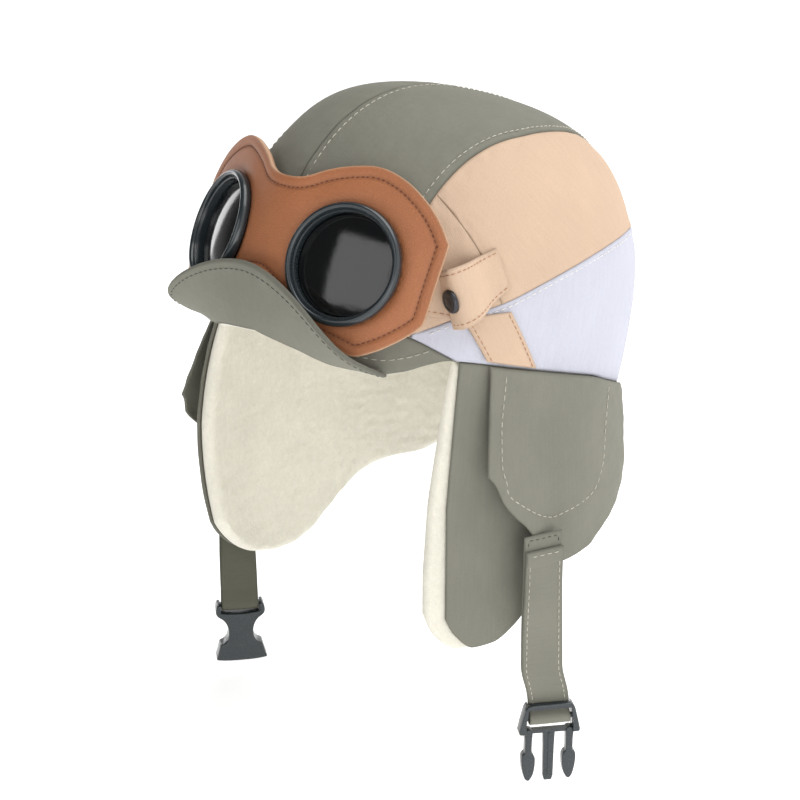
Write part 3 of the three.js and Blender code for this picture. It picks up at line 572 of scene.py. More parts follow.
# The studio light is a little brighter than white, so cloth and leather are this much darker
SHADE = 0.8

OLIVE = srgb(136, 135, 123, shade=SHADE)
BEIGE = srgb(223, 194, 168, shade=SHADE)
LAVENDER = srgb(214, 215, 227, shade=SHADE)
FLEECE = srgb(226, 222, 208)
TAN = srgb(186, 118, 77, shade=SHADE)

olive = fabric("olive_cloth", OLIVE)
# Darker copy of the olive cloth for the far chin strap: painted shade
olive_shaded = fabric("olive_cloth_shaded", srgb(100, 100, 87, shade=SHADE))
beige = fabric("beige_cloth", BEIGE, mottle=0.035, seam=0.78)
lavender = fabric("lavender_cloth", LAVENDER, mottle=0.03, seam=0.8)


def make_fleece():
    material, tree, shader = nodes_of("fleece_pile", FLEECE, 0.95, sheen=0.45, specular=0.1)
    shader.inputs["Sheen Tint"].default_value = (0.95, 0.93, 0.88, 1)
    spot = add(tree, "ShaderNodeTexCoord").outputs["Object"]
    patches = noise(tree, spot, 35, 4, 0.55)
    tufts = noise(tree, spot, 420, 4, 0.65)
    hair = noise(tree, spot, 1900, 3, 0.7)
    factor = ranged(tree, patches, 0.3, 0.7, 0.95, 1.05)
    factor = math_node(tree, "MULTIPLY", factor, ranged(tree, tufts, 0.3, 0.7, 0.95, 1.04))
    factor = math_node(tree, "MULTIPLY", factor, ranged(tree, hair, 0.3, 0.7, 0.94, 1.05))
    tree.links.new(tinted(tree, FLEECE, factor), shader.inputs["Base Color"])
    bumped(tree, shader, [(patches, 0.0012), (tufts, 0.0005), (hair, 0.00022)])
    return material


def make_leather():
    material, tree, shader = nodes_of("tan_leather", TAN, 0.52, specular=0.4, coat=0.06, coat_roughness=0.35)
    spot = add(tree, "ShaderNodeTexCoord").outputs["Object"]
    patches = noise(tree, spot, 30, 4, 0.55)
    cells = add(tree, "ShaderNodeTexVoronoi", {"Vector": spot, "Scale": 900.0}, feature="DISTANCE_TO_EDGE")
    pebble = ranged(tree, cells.outputs["Distance"], 0.0, 0.22, 0, 1)
    pores = noise(tree, spot, 1600, 3, 0.6)
    cut = add(tree, "ShaderNodeAttribute", attribute_name="cut").outputs["Fac"]
    line = add(tree, "ShaderNodeAttribute", attribute_name="seam").outputs["Fac"]
    factor = ranged(tree, patches, 0.3, 0.7, 0.93, 1.06)
    factor = math_node(tree, "MULTIPLY", factor, ranged(tree, pebble, 0, 1, 0.9, 1.02))
    factor = math_node(tree, "MULTIPLY", factor, ranged(tree, pores, 0.3, 0.7, 0.96, 1.04))
    # Darker along the sewn groove: painted shade in the groove
    factor = math_node(tree, "MULTIPLY", factor, ranged(tree, line, 0, 1, 1, 0.8))
    colour = mixed(tree, cut, tinted(tree, TAN, factor), srgb(214, 168, 132, shade=SHADE))
    tree.links.new(colour, shader.inputs["Base Color"])
    tree.links.new(ranged(tree, pores, 0.3, 0.7, 0.46, 0.6), shader.inputs["Roughness"])
    bumped(tree, shader, [(patches, 0.0006), (pebble, 0.00008), (pores, 0.00006)])
    return material


def make_plastic(name, base, roughness, coat):
    material, tree, shader = nodes_of(name, base, roughness, specular=0.5, coat=coat, coat_roughness=0.08)
    spot = add(tree, "ShaderNodeTexCoord").outputs["Object"]
    flow = noise(tree, spot, 60, 3)
    grain = noise(tree, spot, 2600, 2, 0.6)
    tree.links.new(tinted(tree, base, ranged(tree, flow, 0.3, 0.7, 0.88, 1.12)), shader.inputs["Base Color"])
    tree.links.new(ranged(tree, grain, 0.3, 0.7, roughness - 0.05, roughness + 0.06), shader.inputs["Roughness"])
    bumped(tree, shader, [(flow, 0.00012), (grain, 0.00001)])
    return material


def make_thread(name, base):
    material, tree, shader = nodes_of(name, base, 0.7, sheen=0.2, specular=0.3)
    spot = add(tree, "ShaderNodeTexCoord").outputs["Object"]
    twist = add(tree, "ShaderNodeTexWave", {"Vector": spot, "Scale": 420.0, "Distortion": 2.0},
                wave_type="BANDS", bands_direction="DIAGONAL").outputs["Fac"]
    tree.links.new(tinted(tree, base, ranged(tree, twist, 0, 1, 0.82, 1.08)), shader.inputs["Base Color"])
    bumped(tree, shader, [(twist, 0.00012)])
    return material


fleece = make_fleece()
leather = make_leather()
plastic = make_plastic("black_plastic", (0.017, 0.024, 0.028), 0.24, 0.35)
lens_plastic = make_plastic("dark_lens", (0.003, 0.0035, 0.004), 0.06, 0.0)
lens_plastic.node_tree.nodes["Principled BSDF"].inputs["Specular IOR Level"].default_value = 0.65
metal, metal_tree, metal_shader = nodes_of("gunmetal", (0.05, 0.05, 0.055), 0.38, metallic=0.85, coat=0.2)
metal_spot = add(metal_tree, "ShaderNodeTexCoord").outputs["Object"]
metal_grain = noise(metal_tree, metal_spot, 900, 3, 0.6)
metal_tree.links.new(ranged(metal_tree, metal_grain, 0.3, 0.7, 0.3, 0.5), metal_shader.inputs["Roughness"])
bumped(metal_tree, metal_shader, [(metal_grain, 0.00002)])
light_thread = make_thread("light_thread", srgb(196, 192, 178))
dark_thread = make_thread("dark_thread", srgb(70, 69, 60))
brown_thread = make_thread("brown_thread", srgb(112, 58, 34))
beige_thread = make_thread("beige_thread", srgb(176, 128, 96))


def finish(made, material, slot, *nodes):
    made.data.materials.clear()
    made.data.materials.append(material)
    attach(made, "root")
    if nodes:
        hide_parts(*nodes)
    return made


# Stitches: short rounded lengths of thread, collected and made as a few pieces
runs = {}


def stitch(group, points, normals, length=2.7, space=1.1, width=0.5, height=0.3):
    along = arc(points)
    pitch = length + space
    count = max(int(along[-1] / pitch), 1)
    centres = (np.arange(count) + 0.5) * along[-1] / count

    def read(values, places):
        return np.stack([np.interp(places, along, values[:, k]) for k in range(3)], 1)

    a, b = read(points, centres - length / 2), read(points, centres + length / 2)
    middle = read(points, centres)
    up = unit(read(normals, centres))
    way = unit(b - a)
    across = unit(np.cross(up, way))
    shape = [(-1, 0.35, -0.2), (-0.8, 0.8, 0.35), (0, 1, 0.75), (0.8, 0.8, 0.35), (1, 0.35, -0.2)]
    around = np.linspace(0, 2 * math.pi, 6, endpoint=False)
    rings = []
    for step, size, lift in shape:
        centre = middle + way * step * length / 2 + up * lift * height
        for angle in around:
            rings.append(centre + across * math.cos(angle) * size * width / 2
                         + up * math.sin(angle) * size * height)
    runs.setdefault(group, []).append(np.stack(rings, 1))


def stitch_faces(stations=5, sides=6):
    faces = []
    for k in range(stations - 1):
        for i in range(sides):
            j = (i + 1) % sides
            faces.append((k * sides + i, k * sides + j, (k + 1) * sides + j, (k + 1) * sides + i))
    faces += [(0, 5, 4, 3), (0, 3, 2, 1)]
    end = (stations - 1) * sides
    faces += [(end, end + 1, end + 2, end + 3), (end, end + 3, end + 4, end + 5)]
    return np.array(faces)


def sew(group, material, slot):
    blocks = np.concatenate(runs[group])
    count, size = blocks.shape[:2]
    faces = stitch_faces()[None] + (np.arange(count) * size)[:, None, None]
    made = make_object(group, blocks.reshape(-1, 3), faces.reshape(-1, 4))
    return finish(made, material, slot)


def line_on(place, u, v, off):
    """Points along a line on a piece, and the normals there."""
    u, v = np.broadcast_arrays(np.asarray(u, float), np.asarray(v, float))
    points = place(u, v, off)
    return points, unit(place(u, v, off + 1.0) - points)


# Crown
def pucker(seed, size=0.28, swell=0.5):
    """Small gathers beside the seams and slow swells between them."""
    def lift(u, v, edge, points):
        near = np.exp(-edge / 5) * (1 - np.exp(-edge / 1.2))
        return size * near * wobble(points, 9, seed) * 1.6 + swell * wobble(points, 60, seed + 1) * smooth(edge / 14)
    return lift


def crown_piece(name, table, sign, material, slot, columns, rows, seed, weld=False):
    place = on_crown(table_place(table), sign)
    made = pillow(name + "_dressed", place, CLOTH / 2, -CLOTH / 2, 1.5, columns, rows,
                  pucker(seed), steps=5, weld=weld)
    finish(made, material, slot, name)
    declared(made, "stretched", "crown_lining")
    return place


for sign, tag in ((1, "L"), (-1, "R")):
    top = crown_piece(f"crown_top_panel_{tag}", top_table, sign, olive, "olive_cloth", 56, 150, 11)
    fore = crown_piece(f"crown_front_panel_{tag}", fore_table, sign, beige, "beige_cloth", 60, 50, 23, True)
    aft = crown_piece(f"crown_side_panel_{tag}", aft_table, sign, beige, "beige_cloth", 110, 60, 31, True)
    wedge = crown_piece(f"crown_wedge_panel_{tag}", wedge_table, sign, lavender, "lavender_cloth", 150, 50, 43)
    t = np.linspace(0.01, 0.99, 400)
    arch_width = 50.0
    stitch("crown_stitches", *line_on(top, 1 - 2.6 / arch_width, t, 0.0))
    if sign > 0:
        stitch("crown_stitches", *line_on(top, 3.6 / arch_width, t, 0.0))
    t = np.linspace(0.02, 0.985, 400)
    heights = np.interp(t, np.linspace(0, 1, 321), wedge_high - wedge_low)
    on = heights > 7
    stitch("wedge_stitches", *line_on(wedge, t[on], 1 - 2.4 / heights[on], 0.0), length=2.3)

band = crown_piece("front_band", band_table, 1, olive, "olive_cloth", 150, 12, 57)
t = np.linspace(0.06, 0.94, 400)
heights = np.interp(t, np.linspace(0, 1, 241), band_high - band_low)
stitch("crown_stitches", *line_on(band, t, np.clip(6.5 / heights, 0.1, 0.8), 0.0))


def crown_lining():
    turns, climbs = 200, 60
    turn = np.linspace(0, 2 * math.pi, turns, endpoint=False)
    low = rim(turn) + 1
    climb = np.radians(np.linspace(0, 87, climbs))
    outer_off = -CLOTH - GAP
    layers = []
    for off in (outer_off, outer_off - CROWN_PILE):
        ring = np.cos(climb) ** (2 / ROUND)
        z = (HEIGHT + off) * np.sin(climb) ** (2 / ROUND)
        x = (HALF_WIDTH + off) * ring[None] * np.sin(turn)[:, None]
        y = -(reach(turn)[:, None] + off) * ring[None] * np.cos(turn)[:, None]
        grid = vectors(x, y, np.repeat(z[None], turns, 0))
        foot_row = grid[:, :1].copy()
        foot_row[..., 2] = low[:, None]
        layers.append(np.concatenate([foot_row, grid], 1))
    outer, inner = layers
    nap = 0.35 * wobble(inner, 7, 71) + 0.2 * wobble(inner, 3, 72)
    inner = inner + unit(inner - np.array([0, 0, 20.0])) * nap[..., None]
    middle = (outer[:, :1] + inner[:, :1]) / 2 - np.array([0, 0, 1.6])
    profile = np.concatenate([outer[:, ::-1], middle, inner], 1)
    nu, nv = profile.shape[:2]
    index = np.arange(nu * nv).reshape(nu, nv)
    wrapped = np.vstack([index, index[:1]])
    faces = np.stack([wrapped[:-1, :-1], wrapped[1:, :-1], wrapped[1:, 1:], wrapped[:-1, 1:]], -1).reshape(-1, 4)
    poles = []
    points = profile.reshape(-1, 3)
    ends = []
    for column, z in ((0, outer[0, -1, 2]), (nv - 1, inner[0, -1, 2])):
        poles.append(len(points))
        points = np.vstack([points, [[0, 0, z]]])
        ring = index[:, column]
        for k in range(nu):
            a, b = ring[k], ring[(k + 1) % nu]
            ends.append((a, poles[-1], b) if column == 0 else (b, poles[-1], a))
    faces = [tuple(f) for f in faces]
    if volume_sign(points, np.array(faces)) < 0:
        faces = [f[::-1] for f in faces]
        ends = [f[::-1] for f in ends]
    made = make_object("crown_lining_dressed", tilt(points), faces + ends)
    finish(made, fleece, "fleece", "crown_lining")


crown_lining()

# Peak: a middle surface ruled from the rim to the free edge, and a rounded closed profile round it
PEAK = {"half": 62.5, "reach": 38.5, "rise": 35.0, "arch": 26.0, "square": 5.0, "wall": 3.0}


def peak_place(u, v, off):
    angle = (u - 0.5) * math.pi * 0.97
    sine, cosine = np.sin(angle), np.cos(angle)
    radius = (np.abs(sine) ** PEAK["square"] + cosine ** PEAK["square"]) ** (-1 / PEAK["square"])
    s, f = radius * sine, radius * cosine
    edge = vectors(PEAK["half"] * s, -0.77 * FRONT_REACH - PEAK["reach"] * f,
                   -FRONT_DROP + (PEAK["rise"] - PEAK["arch"] * np.abs(s) ** 1.78) * f)
    turn = np.arcsin(np.clip(0.93 * PEAK["half"] * s / HALF_WIDTH, -1, 1))
    base = vectors((HALF_WIDTH + GAP) * np.sin(turn), -(FRONT_REACH + GAP) * np.cos(turn), rim(turn))
    lift = off + PEAK["wall"] / 2
    base = base + vectors(0, -0.3 * lift, lift)
    edge_out = edge + vectors(0, 0.75 * lift, 0.5 * lift)
    point = base + (edge_out - base) * np.asarray(v)[..., None]
    sag = np.sin(math.pi * v) * 0.06 * np.linalg.norm(base - edge, axis=-1)
    return tilt(point - vectors(0, 0, sag))


def peak_lift(u, v, edge, points):
    return 0.25 * wobble(points, 30, 81) * smooth(edge / 8)


peak = pillow("peak_dressed", peak_place, PEAK["wall"] / 2, 0.0, 1.5, 220, 34, peak_lift, steps=5)
finish(peak, olive, "olive_cloth", "peak")
u = np.linspace(0.02, 0.98, 500)
depth = np.linalg.norm(peak_place(u, np.ones_like(u), 0.0) - peak_place(u, np.zeros_like(u), 0.0), axis=-1)
v = 1 - 3.2 / np.maximum(depth, 14)
for off, way in ((-PEAK["wall"] / 2, -1), (PEAK["wall"] / 2, 1)):
    points = peak_place(u, v, off)
    normals = unit(peak_place(u, v, off + way) - points)
    stitch("peak_stitches", points, normals, length=2.4, space=1.2, width=0.45, height=0.22)
sew("crown_stitches", light_thread, "olive_cloth")
sew("wedge_stitches", make_thread("white_thread", srgb(236, 234, 230)), "lavender_cloth")
sew("peak_stitches", dark_thread, "olive_cloth")

# Flaps
SIDES = {
    1: {"swell": 0.0, "lean": 3.0, "shift": 0.0, "drop": 0.0, "roll": 5.2},
    -1: {"swell": 19.0, "lean": 5.0, "shift": -3.0, "drop": 9.0, "roll": 0.0},
}
edge_left = curve([
    (56, 0.69), (57.5, 0.8), (61, 0.905), (66, 0.965), (71, 0.96), (77, 0.91),
    (84, 0.81), (91, 0.73), (100, 0.7), (130, 0.69), (180, 0.68),
])
edge_right = curve([
    (57, 0.77), (58.5, 0.83), (60.5, 0.885), (63, 0.935), (66, 0.98), (70, 1.02), (75, 1.05), (80, 1.075),
    (86, 1.085), (92, 1.07), (98, 1.02), (105, 0.935), (112, 0.85), (120, 0.8), (130, 0.765), (140, 0.7),
    (150, 0.685), (180, 0.68),
])
FLAP_FIRST, FLAP_LAST = 66.0, 124.0
flap_edge = curve([
    (66, 0.4), (68, 0.456), (70, 0.558), (73, 0.65), (76, 0.725), (80, 0.869), (84, 0.984), (88, 1.011),
    (96, 0.999), (100, 0.969), (104, 0.936), (112, 0.878), (120, 0.792), (124, 0.738),
])


def seam_level(turn, off=0.0):
    angle = np.radians(turn)
    tipped = math.tan(PITCH) * (reach(angle) * math.cos(PITCH) + off) * np.cos(angle)
    return tipped + math.cos(PITCH) * rim(angle)


def sided(turn, key):
    return np.where(turn >= 0, SIDES[1][key], SIDES[-1][key])


def depth_below(turn, level):
    return np.maximum(seam_level(turn) - level, 0)


def depth_share(turn, level):
    return np.minimum(depth_below(turn, level) / SWELL_DEPTH, 1)


def skirt_point(turn, level, off):
    bend = depth_share(turn, level)
    size = np.abs(turn)
    angle = np.radians(turn - np.sign(turn) * sided(turn, "lean") * bend * smooth((100 - size) / 45))
    window = smooth((150 - size) / 60)
    belly = np.sin(math.pi / 2 * np.minimum(depth_below(turn, level) / FLARE_DEPTH, 2))
    flare = sided(turn, "swell") * np.maximum(belly, 0) ** 0.6 * window
    out = off + flare - BACK_TUCK * bend * smooth((size - 70) / 80)
    slide = math.sin(PITCH) * rim(np.radians(turn)) * (1 - bend)
    return vectors((HALF_WIDTH + out) * np.sin(angle),
                   -(reach(angle) * math.cos(PITCH) + out) * np.cos(angle) + slide, level)


def skirt_place(front, extra, rolls=False):
    """Place function of the whole skirt; the near flap's fleece rolls forward of its cloth."""
    def place(u, v, off):
        around = front + u * (360 - 2 * front)
        turn = np.where(around > 180, around - 360, around)
        size = np.abs(turn)
        bottom = -SKIRT_DROP * np.where(turn >= 0, edge_left(size), edge_right(size)) - extra
        top = seam_level(turn, np.asarray(off)) - GAP
        level = top + (bottom - top) * v
        if rolls:
            depth = np.minimum(depth_below(size, level) / ROLL_DEPTH, 1)
            size = size - sided(turn, "roll") * depth ** 0.7 * smooth((75 - size) / 15)
        return skirt_point(np.where(turn >= 0, size, -size), level, off)
    return place


def cloth_swell(seed, size=0.5):
    def lift(u, v, edge, points):
        return size * wobble(points, 38, seed) * smooth(edge / 12) + 0.12 * wobble(points, 9, seed + 1)
    return lift


cover_place = skirt_place(SKIRT_FRONT + 1, 0)
cover = pillow("flap_cover_dressed", cover_place, CLOTH / 2, -CLOTH / 2, 0.9, 300, 64, cloth_swell(91), steps=4)
finish(cover, olive, "olive_cloth", "flap_cover")
declared(cover, "hung", "crown_lining")


def nap(seed):
    def lift(u, v, edge, points):
        return 0.3 * wobble(points, 6, seed) + 0.2 * wobble(points, 2.6, seed + 1)
    return lift


lining_place = skirt_place(SKIRT_FRONT + 0.3, 1.5, True)


def turned_over(place):
    return lambda u, v, off: place(u, v, -np.asarray(off))


lining_mid = CLOTH + GAP + FLAP_PILE / 2
lining = pillow("flap_lining_dressed", turned_over(lining_place), FLAP_PILE / 2, lining_mid, 4.0, 280, 60,
                nap(95), steps=8)
finish(lining, fleece, "fleece", "flap_lining")


def flap_off(turn, level):
    share = depth_share(turn, level)
    ahead = np.maximum((85 - np.abs(turn)) / 19, 0)
    return GAP + 0.2 + FLAP_BULGE * share ** 0.6 + FLAP_TWIST * share ** 2 * ahead


def outer_flap_place(sign):
    def place(u, v, off):
        spot = FLAP_FIRST + (FLAP_LAST - FLAP_FIRST) * u
        turn = sign * (spot + SIDES[sign]["shift"])
        bottom = -FLAP_DROP * flap_edge(spot) - SIDES[sign]["drop"]
        top = seam_level(turn) - GAP
        level = top + (bottom - top) * v
        return skirt_point(turn, level, flap_off(turn, level) + CLOTH / 2 + off)
    return place


flap_places = {}
for sign, tag in ((1, "L"), (-1, "R")):
    place = flap_places[sign] = outer_flap_place(sign)
    made = pillow(f"outer_flap_{tag}_dressed", place, CLOTH / 2, 0.0, 0.8, 84, 76, cloth_swell(101, 0.3), steps=4)
    finish(made, olive, "olive_cloth", f"outer_flap_{tag}")
    declared(made, "hung", "flap_cover")

# The U-shaped topstitch of each outer flap, in turns and levels
U_STITCH = [
    (70.2, 9), (69.8, 1.3), (69.2, -10.7), (69.2, -20.3), (69.5, -32), (70.5, -38.7), (71.2, -45), (74.2, -51),
    (79.5, -59), (83.8, -62.7), (88, -62.7), (91.2, -62.3), (98, -60), (101.8, -53.7), (104, -45.7),
    (105.2, -31.7), (108, -17), (109.5, -14.3),
]
for sign, tag in ((1, "L"), (-1, "R")):
    route = catmull(U_STITCH, 14, closed=False)
    turn = sign * (route[:, 0] + SIDES[sign]["shift"])
    level = route[:, 1] - SIDES[sign]["drop"] * smooth((5 - route[:, 1]) / 20)
    raised = flap_off(turn, level) + CLOTH
    points = skirt_point(turn, level, raised)
    normals = unit(skirt_point(turn, level, raised + 1) - points)
    stitch("flap_stitches", points, normals, length=2.6, space=1.3, width=0.45, height=0.25)

# Chin straps
STRAPS = {
    1: {"turn": 81.5, "root": 0.375, "leave": 0.464, "bar": 0.942, "x": 1.075, "y": -0.122, "rail": True,
        "sway": -0.2, "lift": 1, "facing": curve([(0, 73), (0.35, 64), (1, 55)])},
    -1: {"turn": 81, "root": 0.383, "leave": 0.467, "bar": 0.966, "x": -1.141, "y": -0.415, "rail": False,
         "sway": 0, "lift": 0, "facing": curve([(0, -86), (0.6, -104), (1, -124)])},
}


def strap_frame(sign, level):
    spec = STRAPS[sign]
    turn = sign * spec["turn"] * np.ones_like(level)
    leave, bar = -spec["leave"] * STRAP_DROP, -spec["bar"] * STRAP_DROP
    lift = flap_off(turn, level) + CLOTH + GAP + spec["lift"] * STAND_OFF + 1.5 * WEB + LAYER
    on_flap = skirt_point(turn, np.maximum(level, leave), lift)
    share = smooth((leave - level) / (leave - bar))[..., None]
    hang = vectors(spec["x"] * HALF_WIDTH, spec["y"] * HALF_WIDTH, level)
    place = on_flap * (1 - share) + hang * share
    place[..., 2] = level
    facing = np.radians(spec["facing"](share[..., 0]))
    zero = np.zeros_like(facing)
    across = vectors(np.cos(facing), np.sin(facing), zero)
    sway = spec["sway"] * WEB_WIDTH * smooth((level - bar - 0.4 * FRAME_HIGH) / (1.5 * FRAME_HIGH))
    return place + across * sway[..., None], vectors(np.sin(facing), -np.cos(facing), zero), across, facing


def strap_path(sign):
    spec = STRAPS[sign]
    bar = -spec["bar"] * STRAP_DROP
    half = LOOP + WEB / 2
    apart = WEB / 2 + LAYER
    closing = 0.6 * FRAME_HIGH if spec["rail"] else 0.0
    rail_foot = 0.307 * FRAME_HIGH

    def back_out(rise):
        return -half + (half - apart) * smooth((rise - closing) / (0.6 * FRAME_HIGH))

    def front_out(rise):
        if not spec["rail"]:
            return -back_out(rise)
        behind = back_out(rise) + WEB + GAP + LAYER
        return np.where(rise < rail_foot, half + (behind - half) * smooth(rise / rail_foot), behind)

    down = np.linspace(-spec["root"] * STRAP_DROP - bar, 0, 300)
    up = np.linspace(0, -spec["root"] * STRAP_DROP - STRAP_STEP - bar, 300)
    bend = np.linspace(0, math.pi, 40)[1:-1]
    level = np.concatenate([bar + down, bar - half * np.sin(bend), bar + up])
    out = np.concatenate([back_out(down), -half * np.cos(bend), front_out(up)])
    return np.stack([level, out], 1)


def strap_place(sign):
    path = strap_path(sign)
    bar = -STRAPS[sign]["bar"] * STRAP_DROP
    along = arc(path) / arc(path)[-1]
    way = unit(np.gradient(path, axis=0))

    def place(u, v, off):
        level, out = np.interp(u, along, path[:, 0]), np.interp(u, along, path[:, 1])
        fall, rise = np.interp(u, along, way[:, 0]), np.interp(u, along, way[:, 1])
        base, normal, across, _ = strap_frame(sign, np.maximum(level, bar))
        base[..., 2] = level - off * rise
        moved = out + off * fall
        return base + normal * moved[..., None] + across * ((v - 0.5) * WEB_WIDTH)[..., None]

    return place, path


for sign, tag in ((1, "L"), (-1, "R")):
    place, path = strap_place(sign)
    total = arc(path)[-1]
    end = 7.5 / total

    def strap_lift(u, v, edge, points, end=end):
        fold = 0.7 * smooth((u - (1 - end)) / (0.15 * end))
        hem = -0.16 * np.exp(-((np.abs(v - 0.5) * WEB_WIDTH - 7.9) / 0.5) ** 2)
        return fold + hem + 0.12 * wobble(points, 14, 111)

    made = pillow(f"chin_strap_{tag}_dressed", place, WEB / 2, 0.0, 0.6, 210, 20, strap_lift, steps=3)
    # The far chin strap takes the darker olive copy: painted shade
    finish(made, olive if sign > 0 else olive_shaded, "olive_webbing", f"chin_strap_{tag}")
    declared(made, "folded", f"outer_flap_{tag}")
    start = 0.5 + 14 / total
    u = np.linspace(start, 1 - 3 / total, 500)
    for v in (0.105, 0.895):
        stitch("strap_stitches", *line_on(place, u, v, WEB / 2), length=2.4, space=1.2, width=0.45, height=0.22)
    v = np.linspace(0.12, 0.88, 60)
    u = 1 - 2.2 / total
    stitch("strap_stitches", *line_on(place, u, v, WEB / 2 + 0.7), length=2.2, space=1.0, width=0.5, height=0.25)
    back = [(2.0, 0.1), (10.0, 0.1), (10.0, 0.9), (2.0, 0.9), (2.0, 0.1)]
    for (a, p), (b, q) in zip(back, back[1:]):
        u, v = np.linspace(a, b, 40) / total, np.linspace(p, q, 40)
        points = place(u, v, -WEB / 2)
        normals = unit(place(u, v, -WEB / 2 - 1) - points)
        stitch("strap_stitches_dark", points, normals, length=1.9, space=0.8, width=0.42, height=0.2)
sew("flap_stitches", light_thread, "olive_cloth")
sew("strap_stitches", light_thread, "olive_webbing")
sew("strap_stitches_dark", dark_thread, "olive_webbing")


# Buckle halves, built at the bar in their own frame and then placed
def plate(outline, y0, y1, bevel=0.45):
    """Plate with rounded edges, from an outline in x and z, between two depths."""
    data = bpy.data.curves.new("plate", "CURVE")
    data.dimensions = "2D"
    data.fill_mode = "BOTH"
    line = data.splines.new("POLY")
    line.points.add(len(outline) - 1)
    for point, (x, z) in zip(line.points, outline):
        point.co = (x, z, 0, 1)
    line.use_cyclic_u = True
    data.extrude = abs(y1 - y0) / 2 - bevel
    data.bevel_depth = bevel
    data.bevel_resolution = 2
    data.offset = -bevel
    shape = bpy.data.objects.new("plate", data)
    scene.collection.objects.link(shape)
    mesh = bpy.data.meshes.new_from_object(shape.evaluated_get(bpy.context.evaluated_depsgraph_get()))
    bpy.data.objects.remove(shape)
    bpy.data.curves.remove(data)
    middle = (y0 + y1) / 2
    mesh.transform(Matrix(((1, 0, 0, 0), (0, 0, -1, middle), (0, 1, 0, 0), (0, 0, 0, 1))))
    made = bpy.data.objects.new("plate", mesh)
    scene.collection.objects.link(made)
    work = bmesh.new()
    work.from_mesh(mesh)
    bmesh.ops.remove_doubles(work, verts=work.verts, dist=1e-4)
    bmesh.ops.recalc_face_normals(work, faces=work.faces)
    work.to_mesh(mesh)
    work.free()
    return made


def rounded_box(x0, x1, y0, y1, z0, z1, corner=0.8, bevel=0.4):
    corners = []
    for cx, cz, start in ((x1 - corner, z1 - corner, 0), (x0 + corner, z1 - corner, 90),
                          (x0 + corner, z0 + corner, 180), (x1 - corner, z0 + corner, 270)):
        for a in np.radians(np.linspace(start, start + 90, 5)):
            corners.append((cx + corner * math.cos(a), cz + corner * math.sin(a)))
    return plate(corners, y0, y1, bevel)


def combined(first, others, operation):
    for other in others:
        step = first.modifiers.new("cut", "BOOLEAN")
        step.operation = operation
        step.solver = "EXACT"
        step.object = other
        bpy.context.view_layer.update()
        mesh = bpy.data.meshes.new_from_object(first.evaluated_get(bpy.context.evaluated_depsgraph_get()))
        first.modifiers.clear()
        first.data = mesh
        bpy.data.objects.remove(other)
    return first


def at_bar(made, name, sign, node):
    bar = np.array([-STRAPS[sign]["bar"] * STRAP_DROP])
    place, _, _, facing = strap_frame(sign, bar)
    turn = Matrix.Rotation(float(facing[0]), 4, "Z")
    made.data.transform(Matrix.Scale(MM, 4) @ Matrix.Translation(Vector(place[0])) @ turn)
    made.name = made.data.name = name
    made.data.polygons.foreach_set("use_smooth", np.ones(len(made.data.polygons), bool))
    made.data.set_sharp_from_angle(angle=math.radians(38))
    return finish(made, plastic, "black_plastic", node)


def both_ways(points):
    points = [tuple(point) for point in points]
    return points + [(-x, z) for x, z in reversed(points)]


def scaled(rows, x, top, length):
    return [(a * x, top - b * length) for a, b in rows]


HALF, HIGH, DEEP = 15.0, FRAME_HIGH / 2, 3.25
PLUG, SOCKET = 28.0, 34.0
BAR, RAIL, BASE = 2.2, 2.4, 1.8


def buckle_plug():
    outline = both_ways(catmull(scaled([
        (0.25, 0.0), (0.6, 0.01), (0.73, 0.045), (0.8, 0.13), (0.84, 0.25), (0.93, 0.6), (0.98, 0.82),
        (1.0, 0.93), (0.97, 0.985), (0.9, 1.0),
    ], HALF, HIGH, FRAME_HIGH), 5, closed=False))
    arm = catmull(scaled([
        (0.56, -0.06), (0.787, -0.06), (0.787, 0.15), (0.787, 0.3), (0.795, 0.37), (0.86, 0.41), (0.893, 0.47),
        (0.893, 0.58), (0.86, 0.72), (0.8, 0.85), (0.74, 0.91), (0.66, 0.93), (0.59, 0.9), (0.5, 0.8), (0.455, 0.66),
        (0.447, 0.5), (0.5, 0.42), (0.56, 0.37), (0.56, 0.15),
    ], HALF, -HIGH, PLUG), 5)
    prong = both_ways(scaled([(0.2, -0.06), (0.185, 0.12), (0.175, 0.3), (0.167, 0.86), (0.12, 0.95)],
                             HALF, -HIGH, PLUG))
    room, base_room = 0.707 * HALF, 0.767 * HALF
    base_top, rail_foot = BASE - HIGH, HIGH - RAIL
    opening = [(-base_room, base_top), (base_room, base_top), (room, rail_foot), (-room, rail_foot)]
    base_deep = 0.46 * DEEP
    cuts = [
        plate(opening, -20, 20, 0.3),
        rounded_box(-room, room, -GAP, 20, rail_foot - 1, 20, 0.3, 0.2),
        rounded_box(-base_room, base_room, base_deep, 20, -20, 0, 0.3, 0.2),
        rounded_box(-base_room, base_room, -20, -base_deep, -20, 0, 0.3, 0.2),
    ]
    made = combined(plate(outline, -DEEP, DEEP, 0.7), cuts, "DIFFERENCE")
    parts = [
        rounded_box(-0.83 * HALF, 0.83 * HALF, -BAR / 2, BAR / 2, -BAR / 2, BAR / 2, 0.7, 0.4),
        plate(arm, -2.4, 2.4, 0.6),
        plate([(-x, z) for x, z in arm[::-1]], -2.4, 2.4, 0.6),
        plate(prong, -1.6, 1.6, 0.4),
        rounded_box(-0.55, 0.55, -2.1, 0, -HIGH - PLUG * 0.86, -HIGH, 0.4, 0.3),
    ]
    at_bar(combined(made, parts, "UNION"), "buckle_plug_dressed", 1, "buckle_plug")


